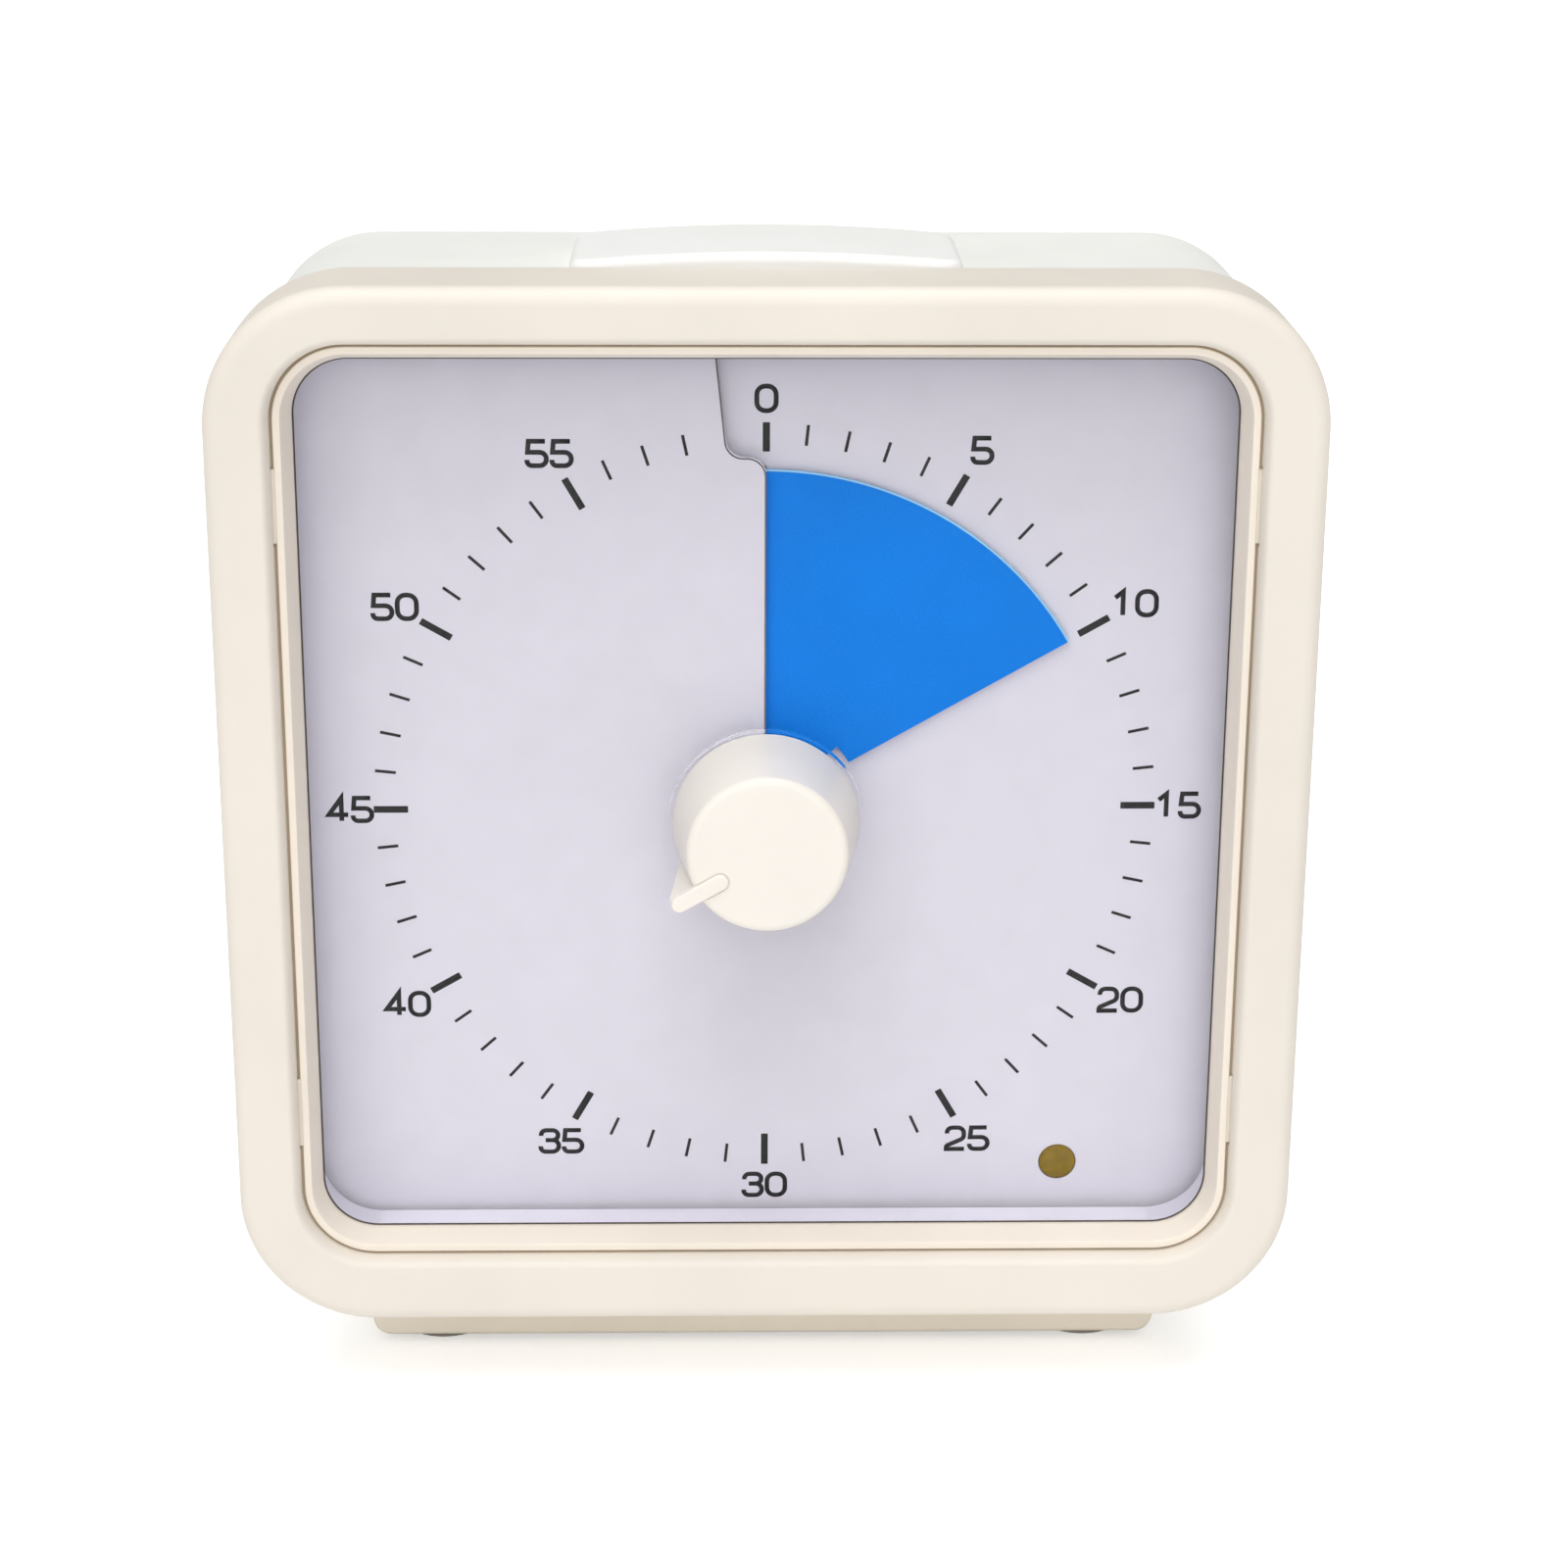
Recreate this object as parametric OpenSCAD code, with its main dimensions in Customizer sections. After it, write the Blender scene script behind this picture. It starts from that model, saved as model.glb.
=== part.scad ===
// Sixty-minute visual countdown timer: a square case on a low plinth, with a
// helical disc that slides out through a slit in the dial as the knob is turned.
// Millimetres. +Z is up, the front faces -Y, and the part stands on Z = 0.

/* [Case] */
// Width and height of the square front frame
case_size = 102; // [96:0.5:124]
// Corner radius of the front frame
case_corner = 13; // [11:0.5:16]
// Width of the front frame's flat face
band = 6; // [5.5:0.1:7]
// Distance from the dial forward to the frame's face
bezel_depth = 10.8; // [10:0.1:13]
// Distance from the dial back to the rear face
body_depth = 31.5; // [31:0.5:45]
// How far the rear housing is set in from the front frame
body_inset = 1.5; // [1.2:0.1:1.8]
// Wall thickness of the mouldings
wall = 2; // [1.6:0.1:2.4]
// Height of the frame's centre above the dial's centre
frame_up = 1.2; // [0:0.1:2]
// Radius on the frame's outer front edge
front_fillet = 1.6; // [0.6:0.1:1.9]
// Radius on the frame's inner front edge
inner_fillet = 0.85; // [0.5:0.05:1.2]
// Radius on the housing's rear edge
rear_fillet = 3; // [1:0.5:4]

/* [Plinth] */
// Width of the plinth
foot_w = 79.4; // [70:0.2:86]
// Depth of the plinth, front to back
foot_d = 27; // [22:0.5:28]
// Height of the plinth under the housing
foot_h = 9; // [7:0.1:12]
// Radius of one rubber pad
pad_r = 4.5; // [3:0.1:5]
// Thickness of one rubber pad
pad_t = 1.4; // [1:0.1:1.8]
// How far the pads stand below the plinth
pad_proud = 0.7; // [0.5:0.1:0.9]

/* [Lens] */
// Distance from the dial forward to the lens's front face
lens_front = 6.3; // [6:0.1:6.6]
// Thickness of the lens
lens_t = 1.5; // [1:0.1:1.6]
// Width that the lens frame shows around the lens
ring_w = 1.75; // [1.4:0.05:2]
// How far the lens frame's edge is set back from the front frame's face
ring_set = 1.6; // [1.4:0.1:2.2]
// Width of the gap around the knob in the lens
lens_hole_gap = 0.5; // [0.4:0.05:0.8]
// Length of one snap clip on the lens frame
clip_l = 7; // [4:0.5:9]
// Height of the clips above and below the frame's centre
clip_z = 30; // [20:0.5:32]

/* [Dial] */
// Rise of the dial sheet over one turn
dial_pitch = 1.6; // [1.4:0.05:1.7]
// Thickness of the dial sheet
dial_t = 0.5; // [0.3:0.05:0.5]
// Radius of the hole in the middle of the dial sheet
dial_hole_r = 6.2; // [5.8:0.1:7]
// Radius at which the slit steps sideways
slit_r = 34.7; // [34:0.1:36]
// Radius of the coloured disc
disc_r = 33.1; // [28:0.1:33.4]
// Thickness of the coloured disc
disc_t = 0.3; // [0.2:0.05:0.35]
// Minutes showing at rest
rest_minutes = 10; // [0:1:60]
// Indicator lamp, to the right of the dial's centre
lamp_x = 29.3; // [26:0.1:30]
// Indicator lamp, below the dial's centre
lamp_down = 37.6; // [30:0.1:38]
// Radius of the indicator lamp
lamp_r = 1.5; // [1:0.1:1.8]

/* [Knob] */
// Radius of the knob at its base
knob_r = 8.9; // [7:0.1:11]
// Radius of the knob at its tip
knob_tip_r = 7.6; // [6:0.1:8.5]
// Distance from the dial forward to the knob's face
knob_front = 14.5; // [13.5:0.1:16]
// Width of the pointer on the knob
pointer_w = 1.7; // [1:0.1:2.5]
// Reach of the pointer from the knob's axis
pointer_reach = 10.3; // [9.5:0.1:11.5]
// Height of the pointer above the knob's face
pointer_proud = 0.3; // [0.2:0.1:0.6]

/* [Button] */
// Length of the top button
button_l = 36.6; // [30:0.2:40]
// Width of the top button, front to back
button_w = 17; // [13:0.5:18]
// Height of the button's crest above the housing
button_proud = 2.6; // [2:0.1:3]
// Travel of the button and its switch
button_travel = 1.2; // [0.6:0.1:1.4]

/* [Movement] */
// Half the width of the movement's square case
move_half = 20; // [19.6:0.1:21]
// Radius of the spindle
spindle_r = 2; // [1.8:0.05:2.2]
// Radius of the threaded bush around the spindle
bush_r = 4; // [3.4:0.1:4.4]
// Tooth size of the centre wheel and its pinion
module_a = 0.5; // [0.45:0.01:0.5]
// Tooth size of the third wheel and its pinion
module_b = 0.4; // [0.36:0.01:0.4]
// Tooth size of the fourth wheel and the rotor's pinion
module_c = 0.25; // [0.2:0.01:0.25]

/* [Power] */
// Radius of one cell
cell_r = 5.25; // [5:0.05:5.3]
// Length of one cell
cell_l = 44.5; // [37:0.5:50]

/* [Fits] */
// Radial clearance of turning and sliding fits
running = 0.05; // [0.02:0.01:0.09]
// Clearance between parts that only pass each other
gap = 0.15; // [0.1:0.01:0.25]

/* [Hidden] */
$fn = 48;

// Main levels, as distances behind the dial
case_half = case_size / 2;
corner_c = case_half - case_corner;
body_half = case_half - body_inset;
face_y = -bezel_depth;
ring_y = face_y + ring_set;
lens_y = -lens_front;
seat_y = lens_y - 0.1;
lip_y = -3;
ledge_y = 1.2;
plate_y = 3.2;
plate_back = plate_y + wall;
inner_y = body_depth - wall;
nub_front = knob_front + pointer_proud;

// Place of the dial's centre in the part's frame
dial_y = (nub_front - body_depth) / 2;
body_bottom = frame_up - body_half;
foot_bottom = body_bottom - foot_h;
dial_z = pad_proud - foot_bottom;

// Frame steps, measured outward from the centre line of the corner arcs
outer_u = case_corner;
inner_u = case_corner - band;
body_u = case_corner - body_inset;
ring_u = inner_u - gap;
sight_u = inner_u - ring_w;
pocket_u = ring_u - 0.85;
lens_u = pocket_u - gap;
tray_in_u = inner_u + 0.2;
tray_out_u = inner_u + 1.9;
ledge_u = sight_u - 0.6;

// Dial and disc
dial_steps = 60;
step_deg = 360 / dial_steps;
disc_gap_deg = 2;
rest_deg = 6 * rest_minutes;
hub_r = 5;
hub_front = -1.1;
hub_back = 1.5;
flat_z = 0.75 * spindle_r;

// Knob
knob_base = lens_front - lens_t;
pointer_deg = rest_deg + 180;

// Button and its switch
body_top = frame_up + body_half;
inside_top = body_top - wall;
button_y0 = 1.4;
button_y1 = button_y0 + button_w;
flange_top = inside_top - 0.05;
button_bottom = flange_top - 1.5;
button_wall = 1.2;
bracket_top = button_bottom - 7.4;
bracket_t = 1.5;
button_mid = 10;
spring_x = button_l / 2 - button_wall - 4.1;
switch_top = bracket_top + 5;
plunger_top = button_bottom - 0.05;

// Movement levels
move_y0 = plate_back;
move_floor = move_y0 + 1.4;
move_inner = move_floor + 8.9;
move_y1 = move_inner + 1.2;
shell = 1.2;
teeth_a = 48;
teeth_b = 40;
teeth_c = 48;
pinion_teeth = 8;
rotor_teeth = 6;
mesh_play = 0.05;
dist_a = module_a * (teeth_a + pinion_teeth) / 2 + mesh_play;
dist_b = module_b * (teeth_b + pinion_teeth) / 2 + mesh_play;
dist_c = module_c * (teeth_c + rotor_teeth) / 2 + mesh_play;
third_x = -dist_a * cos(45);
third_z = dist_a * sin(45);
fourth_x = third_x + dist_b;
fourth_z = third_z;
rotor_x = fourth_x + dist_c;
rotor_z = fourth_z;
arbor_r = 0.6;
fine_r = 0.4;
magnet_r = 2.6;
stator_y0 = move_floor + 5.3;
stator_y1 = stator_y0 + 1;
stator_x = 10;
stator_top = rotor_z + magnet_r + 1.9;
stator_window = 9;
coil_y = (stator_y0 + stator_y1) / 2;
coil_z = -11.5;
coil_half = stator_window / 2 - 0.1;
flange_l = 0.6;

// Battery bay
bay_wall = 1.2;
cover_t = 1.6;
cell_play = 0.4;
cell_y = inner_y - 0.5 - cell_r;
cell_pitch = 2 * cell_r + 1.5;
bay_floor = cell_y - cell_r - cell_play;
bay_h = cell_pitch + 2 * cell_r + 2 * cell_play + 0.6;
bay_z0 = body_bottom + 5.3;
bay_z1 = bay_z0 + bay_h;
lower_z = bay_z0 + 0.3 + cell_play + cell_r;
upper_z = lower_z + cell_pitch;
contact_l = 3;
bay_half = cell_l / 2 + contact_l / 2 + 0.9;
cover_lip = 1.4;

// Rear fittings
post_c = body_half - 11;
post_r = 3.2;
post_y = plate_back + 5;
screw_r = 1.25;
head_r = 2.5;
slider_x = 27;
slider_z = 27;
slider_run = 2;
plunger_r = 1.8;
plate_t = 0.4;
lead_r = 0.6;
lead_y = 13;
tag_y = cell_y - 3.6;
button_roof = body_top + 0.7;
crown_r = (pow(button_l / 2, 2) + 0.81) / 1.8;
grille_x = -24;
grille_z = 24;
sounder_r = 10;
board_x0 = move_half + 2.5;
board_x1 = body_half - 5;
board_y = plate_back + 1.2;
board_t = 1.6;
board_z0 = body_bottom + 5.5;
board_z1 = 20;

// ---------- helpers ----------

// Move from the dial's centre to its place in the part's frame
module place() {
    translate([0, dial_y, dial_z]) children();
}

// A flat shape in the X-Z plane, thick from y0 to y1
module slab(y0, y1) {
    translate([0, y1, 0]) rotate([90, 0, 0]) linear_extrude(y1 - y0) children();
}

// A round bar along Y
module bar(r, y0, y1, x = 0, z = 0) {
    translate([x, y1, z]) rotate([90, 0, 0]) cylinder(h = y1 - y0, r = r);
}

// A flat shape in the Y-Z plane, thick from x0 to x1
module span(x0, x1) {
    translate([x0, 0, 0]) rotate([90, 0, 90]) linear_extrude(x1 - x0) children();
}

// A round bar along X
module bar_x(r, x0, x1, y, z) {
    translate([x0, y, z]) rotate([0, 90, 0]) cylinder(h = x1 - x0, r = r);
}

// A box given by its two corners
module block(low, high) {
    translate(low) cube(high - low);
}

// Rounded square that follows the case, u outside the centres of its corner arcs
module case_outline(u) {
    translate([0, frame_up]) {
        square([2 * corner_c, 2 * (corner_c + u)], center = true);
        square([2 * (corner_c + u), 2 * corner_c], center = true);
        for (x = [-1, 1], z = [-1, 1])
            translate([x * corner_c, z * corner_c]) circle(r = u, $fn = 64);
    }
}

// Rounded rectangle
module plate_outline(w, h, r) {
    square([w - 2 * r, h], center = true);
    square([w, h - 2 * r], center = true);
    for (x = [-1, 1], z = [-1, 1])
        translate([x * (w / 2 - r), z * (h / 2 - r)]) circle(r = r);
}

// Sweep a profile of (outward, back) around the case's rounded square
module around_case() {
    translate([0, 0, frame_up]) for (k = [0 : 3]) rotate([0, 90 * k, 0]) {
        translate([0, 0, corner_c]) rotate([0, -90, 0])
            linear_extrude(2 * corner_c, center = true) children();
        translate([corner_c, 0, -corner_c]) rotate([-90, 0, 0])
            rotate_extrude(angle = 90, $fn = 96) children();
    }
}

// Points of a round corner between two angles
function corner(x, y, r, from, to, n = 5) =
    [for (i = [0 : n]) let (a = from + (to - from) * i / n) [x + r * cos(a), y + r * sin(a)]];

// Outline of a spur wheel with straight-sided teeth
function wheel_points(teeth, size) = let (
        pitch = size * teeth / 2,
        root = pitch - 1.15 * size,
        tip = pitch + 0.8 * size,
        step = 360 / teeth
    ) [for (i = [0 : teeth - 1], k = [0 : 3])
        let (a = step * (i + [-0.3, -0.11, 0.11, 0.3][k]), r = [root, tip, tip, root][k])
            [r * cos(a), r * sin(a)]];

// A toothed wheel along Y; turn places the teeth
module wheel(teeth, size, y0, y1, turn = 0) {
    slab(y0, y1) rotate(turn) polygon(wheel_points(teeth, size));
}

// Faces of a tube of sections, each a ring of the same number of points
function tube_faces(sections, sides) = concat(
    [[for (j = [0 : sides - 1]) j]],
    [for (i = [0 : sections - 2], j = [0 : sides - 1], half = [0, 1])
        let (a = i * sides + j, b = i * sides + (j + 1) % sides)
            half == 0 ? [a, a + sides, b] : [b, a + sides, b + sides]],
    [[for (j = [sides - 1 : -1 : 0]) (sections - 1) * sides + j]]);

// Height of the dial's ramp behind its mean plane, at an angle clockwise from the top
function ramp_y(deg) = dial_pitch * (0.5 - deg / 360);

// Part of a one-turn ramp between two radii
module ramp(r_in, r_out, from, to, back, thick) {
    n = ceil((to - from) / step_deg);
    points = [for (i = [0 : n]) let (a = min(from + i * step_deg, to), y = ramp_y(a) + back)
        each [for (c = [[r_in, -1], [r_out, -1], [r_out, 1], [r_in, 1]])
            [c[0] * sin(a), y + c[1] * thick / 2, c[0] * cos(a)]]];
    polyhedron(points = points, faces = tube_faces(n + 1, 4), convexity = 4);
}

// A round wire along a list of points that lie on a coil about +Z
module coil(r, wire, height, turns) {
    per_turn = 12;
    n = turns * per_turn;
    sides = 6;
    points = [for (i = [0 : n], j = [0 : sides - 1])
        let (a = 360 * i / per_turn, b = 360 * j / sides)
            [(r + wire * cos(b)) * cos(a), (r + wire * cos(b)) * sin(a),
                wire + (height - 2 * wire) * i / n - wire * sin(b)]];
    polyhedron(points = points, faces = tube_faces(n + 1, sides), convexity = 8);
}

// The spindle's D section, grown by a clearance
module d_bar(extra, y0, y1) {
    difference() {
        bar(spindle_r + extra, y0, y1);
        block([-spindle_r - 1, y0 - 1, flat_z + extra], [spindle_r + 1, y1 + 1, spindle_r + 1]);
    }
}

// Copies at the four corners around the case's centre
module at_corners(c) {
    for (x = [-c, c], z = [-c, c]) translate([x, 0, frame_up + z]) children();
}

// ---------- front ----------

module front_bezel() color("ivory") place() difference() {
    around_case() polygon(concat(
        [[outer_u, 0]],
        corner(outer_u - front_fillet, face_y + front_fillet, front_fillet, 0, -90),
        corner(inner_u + inner_fillet, face_y + inner_fillet, inner_fillet, -90, -180, 4),
        [[inner_u, seat_y], [inner_u + wall, seat_y], [inner_u + wall, face_y + wall],
            [outer_u - wall, face_y + wall], [outer_u - wall, lip_y - 0.2],
            [body_u + gap, lip_y - 0.2], [body_u + gap, 0]]));
    for (x = [-1, 1], z = [-clip_z, clip_z])
        translate([x * (corner_c + inner_u), ring_y + 0.75, frame_up + z])
            cube([2, 1.9, clip_l + 0.6], center = true);
}

module lens_frame() color("antiquewhite") place() {
    around_case() polygon([[ring_u, ring_y], [sight_u, lens_y - 0.4], [sight_u, lens_y],
        [pocket_u, lens_y], [pocket_u, ledge_y - 2.4], [ring_u, ledge_y - 2.4]]);
    for (x = [-1, 1], z = [-clip_z, clip_z])
        translate([x * (corner_c + inner_u), ring_y + 0.75, frame_up + z])
            cube([1.5, 1.3, clip_l], center = true);
}

module lens() color("lightcyan", 0.4) place() difference() {
    slab(lens_y, lens_y + lens_t) case_outline(lens_u);
    bar(knob_r + lens_hole_gap, lens_y - 1, lens_y + lens_t + 1);
}

// ---------- rear housing and plinth ----------

// Cuts that run through the rear wall: sounder grille and volume slot
module rear_cuts() {
    for (i = [-2 : 2], j = [-2 : 2])
        if (abs(i) + abs(j) < 4)
            bar(0.9, inner_y - 1, body_depth + 1, grille_x + 3.2 * i, grille_z + 3.2 * j);
    block([slider_x - slider_run - 1.9, inner_y - 1, slider_z - 1.9],
        [slider_x + slider_run + 1.9, body_depth + 1, slider_z + 1.9]);
    translate([slider_x, 0, slider_z]) slab(body_depth - 0.8, body_depth + 1)
        plate_outline(14, 8, 1.5);
    translate([0, 0, (bay_z0 + bay_z1) / 2]) {
        slab(bay_floor, body_depth + 1) square([2 * bay_half, bay_h], center = true);
        slab(body_depth - cover_t, body_depth + 1)
            plate_outline(2 * (bay_half + cover_lip), bay_h + 2 * cover_lip, 1.5);
    }
}

module rear_housing() color("ivory") place() difference() {
    union() {
        difference() {
            union() {
                slab(lip_y, body_depth - rear_fillet) case_outline(body_u);
                slab(body_depth - rear_fillet, body_depth) case_outline(body_u - rear_fillet);
                around_case() polygon(concat([[body_u - rear_fillet - 1, body_depth - rear_fillet]],
                    corner(body_u - rear_fillet, body_depth - rear_fillet, rear_fillet, 0, 90),
                    [[body_u - rear_fillet - 1, body_depth]]));
            }
            slab(lip_y - 1, inner_y) case_outline(body_u - wall);
        }
        at_corners(post_c) bar(post_r, post_y, inner_y + 0.5);
        translate([0, 0, (bay_z0 + bay_z1) / 2]) slab(bay_floor - bay_wall, inner_y + 0.5)
            square([2 * (bay_half + bay_wall), bay_h + 2 * bay_wall], center = true);
    }
    at_corners(post_c) {
        bar(screw_r + gap, post_y - 1, body_depth + 1);
        bar(head_r + 0.3, body_depth - 3, body_depth + 1);
    }
    rear_cuts();
    translate([0, (button_y0 + button_y1) / 2, inside_top - 1]) linear_extrude(wall + 2)
        plate_outline(button_l + 2 * gap, button_w + 2 * gap, 2.2 + gap);
    plinth_screw_places() cylinder(h = foot_h + wall + 1, r = screw_r - 0.1);
    for (side = [-1, 1]) translate([side * (bay_half + 1), tag_y, lower_z])
        cube([4, 0.9, 2.4], center = true);
}

// Four long screws, driven from the back into the chassis
module housing_screws() color("silver") place() at_corners(post_c) difference() {
    union() {
        bar(screw_r, post_y - 3.5, body_depth - 2.9);
        bar(head_r, body_depth - 3, body_depth - 1.2);
    }
    block([-2, body_depth - 1.8, -0.3], [2, body_depth, 0.3]);
    block([-0.3, body_depth - 1.8, -2], [0.3, body_depth, 2]);
}

module foot_plinth() color("antiquewhite") place() difference() {
    translate([0, 0, body_bottom - foot_h / 2]) slab(1, 1 + foot_d)
        plate_outline(foot_w, foot_h, 1.8);
    block([-foot_w / 2 + wall, 1 + wall, foot_bottom + wall],
        [foot_w / 2 - wall, 1 + foot_d - wall, body_bottom + 1]);
    pad_places() cylinder(h = 2 * (pad_t - pad_proud), r = pad_r + gap, center = true);
    plinth_screw_places() cylinder(h = 3 * foot_h, r = screw_r + gap, center = true);
    plinth_screw_places() translate([0, 0, -1]) cylinder(h = 1 + 0.8, r = head_r + 0.3);
}

module pad_places() {
    for (x = [-1, 1], y = [6.5, foot_d - 4.5])
        translate([x * (foot_w / 2 - 7), y, foot_bottom]) children();
}

module plinth_screw_places() {
    for (x = [-1, 1])
        translate([x * (foot_w / 2 - 10), button_y1 - 3, foot_bottom]) children();
}

// Two screws up through the plinth's floor into the housing
module plinth_screws() color("silver") place() plinth_screw_places() difference() {
    union() {
        cylinder(h = foot_h + wall, r = screw_r - 0.1);
        translate([0, 0, 0.1]) cylinder(h = 0.7, r = head_r);
    }
    translate([0, 0, 0.2]) cube([3.6, 0.6, 0.8], center = true);
}

module foot_pads() color("dimgray") place() pad_places()
    translate([0, 0, -pad_proud]) cylinder(h = pad_t, r = pad_r);

// ---------- chassis and dial ----------

module chassis_plate() color("whitesmoke") place() difference() {
    union() {
        slab(plate_y, plate_back) case_outline(ledge_u + 0.8);
        around_case() polygon([[ledge_u, ledge_y], [tray_in_u, ledge_y], [tray_in_u, seat_y],
            [tray_out_u, seat_y], [tray_out_u, plate_back], [ledge_u, plate_back]]);
        at_corners(post_c) bar(post_r - 0.4, plate_back - 0.5, post_y);
    }
    bar(bush_r + gap, 0, plate_back + 1);
    bar(lamp_r + gap, 0, plate_back + 1, lamp_x, -lamp_down);
    at_corners(post_c) bar(screw_r, post_y - 4.2, post_y + 1);
    block([-button_l / 2 - 2.5, 0.9, button_bottom - button_travel - 1],
        [button_l / 2 + 2.5, plate_back + 1, case_half + 1]);
}

// Printed sheet that climbs once around the dial, slit at the top so the disc can pass
module dial_sheet() color("lavender") place() difference() {
    intersection() {
        union() {
            ramp(dial_hole_r, slit_r, 0, 360, 0, dial_t);
            ramp(slit_r, 1.5 * case_half, -step_deg, 360 - step_deg, 0, dial_t);
        }
        slab(-dial_pitch - 1, dial_pitch + 1) case_outline(tray_in_u - 0.2);
    }
    bar(lamp_r + gap, -dial_pitch - 1, dial_pitch + 1, lamp_x, -lamp_down);
}

// Coloured film: the part from 0 to the set time lies in front of the dial, the rest behind
module time_disc() color("dodgerblue") place() {
    back = -dial_pitch / 2;
    tail = rest_deg - 360 + disc_gap_deg;
    notch = rest_deg - 2 * step_deg;
    ramp(hub_r / cos(step_deg / 2), disc_r, tail, notch, back, disc_t);
    ramp(hub_r + 4.2, disc_r, notch, rest_deg, back, disc_t);
}

module disc_hub() color("white") place() difference() {
    bar(hub_r, hub_front, hub_back);
    d_bar(running, hub_front - 1, hub_back + 1);
}

// ---------- knob and spindle ----------

module spindle() color("silver") place() difference() {
    union() {
        bar(spindle_r, -knob_front + 1.5, move_floor + 2.4);
        bar(spindle_r / 2 + 0.2, move_floor + 2, move_y1 - 0.3);
        bar(hub_r, move_floor + 0.1, move_floor + 0.5);
    }
    block([-spindle_r - 1, -knob_front, flat_z], [spindle_r + 1, 2, spindle_r + 1]);
}

module set_knob() color("ivory") place() difference() {
    union() {
        rotate([90, 0, 0]) rotate_extrude($fn = 96) polygon(concat(
            [[0, knob_base], [knob_r - 0.3, knob_base], [knob_r, knob_base + 0.3]],
            corner(knob_tip_r - 0.8, knob_front - 0.8, 0.8, 7, 90, 4),
            [[0, knob_front]]));
        rotate([0, pointer_deg, 0]) rotate([0, -90, 0])
            linear_extrude(pointer_w, center = true)
                polygon([[4.6, -knob_front + 0.5], [4.6, -nub_front + 0.15],
                    [4.8, -nub_front], [pointer_reach - 0.3, -nub_front],
                    [pointer_reach, -nub_front + 0.3], [knob_r - 1, -knob_base - 2],
                    [knob_tip_r - 2, -knob_front + 1]]);
    }
    d_bar(0.02, -knob_front + 1.4, 0);
}

module bush_nut() color("goldenrod") place() difference() {
    slab(plate_y - 1.2, plate_y) circle(r = bush_r + 1.7, $fn = 6);
    bar(bush_r, 0, plate_y + 1);
}

// ---------- movement ----------

// Corners that hold the movement's two screws
module movement_corners() {
    for (s = [-1, 1]) translate([s * (move_half - 3.4), 0, s * (move_half - 3.4)]) children();
}

module bridge_places() {
    translate([move_half - 3.2, 0, 12.2]) children();
    translate([move_half - 3.2, 0, -13.6]) children();
    translate([-2.6, 0, -15.4]) children();
}

module movement_case() color("gainsboro") place() difference() {
    union() {
        difference() {
            slab(move_y0, move_inner) plate_outline(2 * move_half, 2 * move_half, 2);
            slab(move_floor, move_inner + 1)
                plate_outline(2 * (move_half - shell), 2 * (move_half - shell), 1);
        }
        movement_corners() bar(1.8, move_floor - 0.5, move_inner);
        bridge_places() bar(1.2, move_floor - 0.5, move_floor + 2.3);
        bar(bush_r, plate_y - 1.2, move_y0 + 0.5);
    }
    bar(spindle_r + running, 0, move_floor + 1);
    bar(arbor_r + running, move_floor - 0.9, move_floor + 1, third_x, third_z);
    movement_corners() bar(0.75, move_inner - 5, move_inner + 1);
}

module movement_cover() color("gainsboro") place() difference() {
    slab(move_inner, move_y1) plate_outline(2 * move_half, 2 * move_half, 2);
    bar(spindle_r / 2 + 0.2 + running, move_inner - 1, move_y1 + 1);
    bar(arbor_r + running, move_inner - 1, move_y1 + 1, third_x, third_z);
    bar(arbor_r + running, move_inner - 1, move_y1 + 1, fourth_x, fourth_z);
    bar(fine_r + running, move_inner - 1, move_y1 + 1, rotor_x, rotor_z);
    movement_corners() bar(0.75 + gap, move_inner - 1, move_y1 + 1);
    movement_corners() bar(1.6 + gap, move_y1 - 0.7, move_y1 + 1);
}

module movement_screws() color("silver") place() movement_corners() difference() {
    union() {
        bar(0.75, move_inner - 4.5, move_y1 - 0.1);
        bar(1.6, move_y1 - 0.7, move_y1);
    }
    block([-1.1, move_y1 - 0.35, -0.2], [1.1, move_y1 + 1, 0.2]);
}

module clutch_spring() color("goldenrod") place() difference() {
    bar(4.4, move_floor + 0.5, move_floor + 0.8);
    bar(spindle_r + running, move_floor, move_floor + 2);
}

module centre_wheel() color("khaki") place() difference() {
    wheel(teeth_a, module_a, move_floor + 0.8, move_floor + 2);
    bar(spindle_r + running, move_floor, move_floor + 3);
}

module wheel_clip() color("silver") place() difference() {
    bar(spindle_r + 0.6, move_floor + 2, move_floor + 2.25);
    bar(spindle_r, move_floor, move_floor + 3);
    block([-1, move_floor, -5], [1, move_floor + 3, 0]);
}

// The pinions' teeth are turned half a step so that they mesh at rest
module third_wheel() color("khaki") place() translate([third_x, 0, third_z]) {
    wheel(pinion_teeth, module_a, move_floor + 0.7, move_floor + 2.3, 135 + 180 / pinion_teeth);
    bar(pinion_teeth * module_a / 2 - 0.7, move_floor + 2.2, move_floor + 3.3);
    wheel(teeth_b, module_b, move_floor + 3.2, move_floor + 4.1);
    bar(arbor_r, move_floor - 0.8, move_y1 - 0.2);
}

module train_bridge() color("lightgray") place() difference() {
    union() {
        translate([7.4, 0, -1]) slab(move_floor + 2.35, move_floor + 2.8)
            plate_outline(22.4, 30, 1.5);
        for (p = [[16.3, 10.6], [16.3, -12.2], [4, -12.2]])
            bar(0.9, move_floor + 2.6, stator_y0, p[0], p[1]);
    }
    bar(spindle_r + 0.6, move_floor, move_floor + 4);
    bar(arbor_r + running, move_floor, move_floor + 4, fourth_x, fourth_z);
    bar(fine_r + running, move_floor, move_floor + 4, rotor_x, rotor_z);
}

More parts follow.
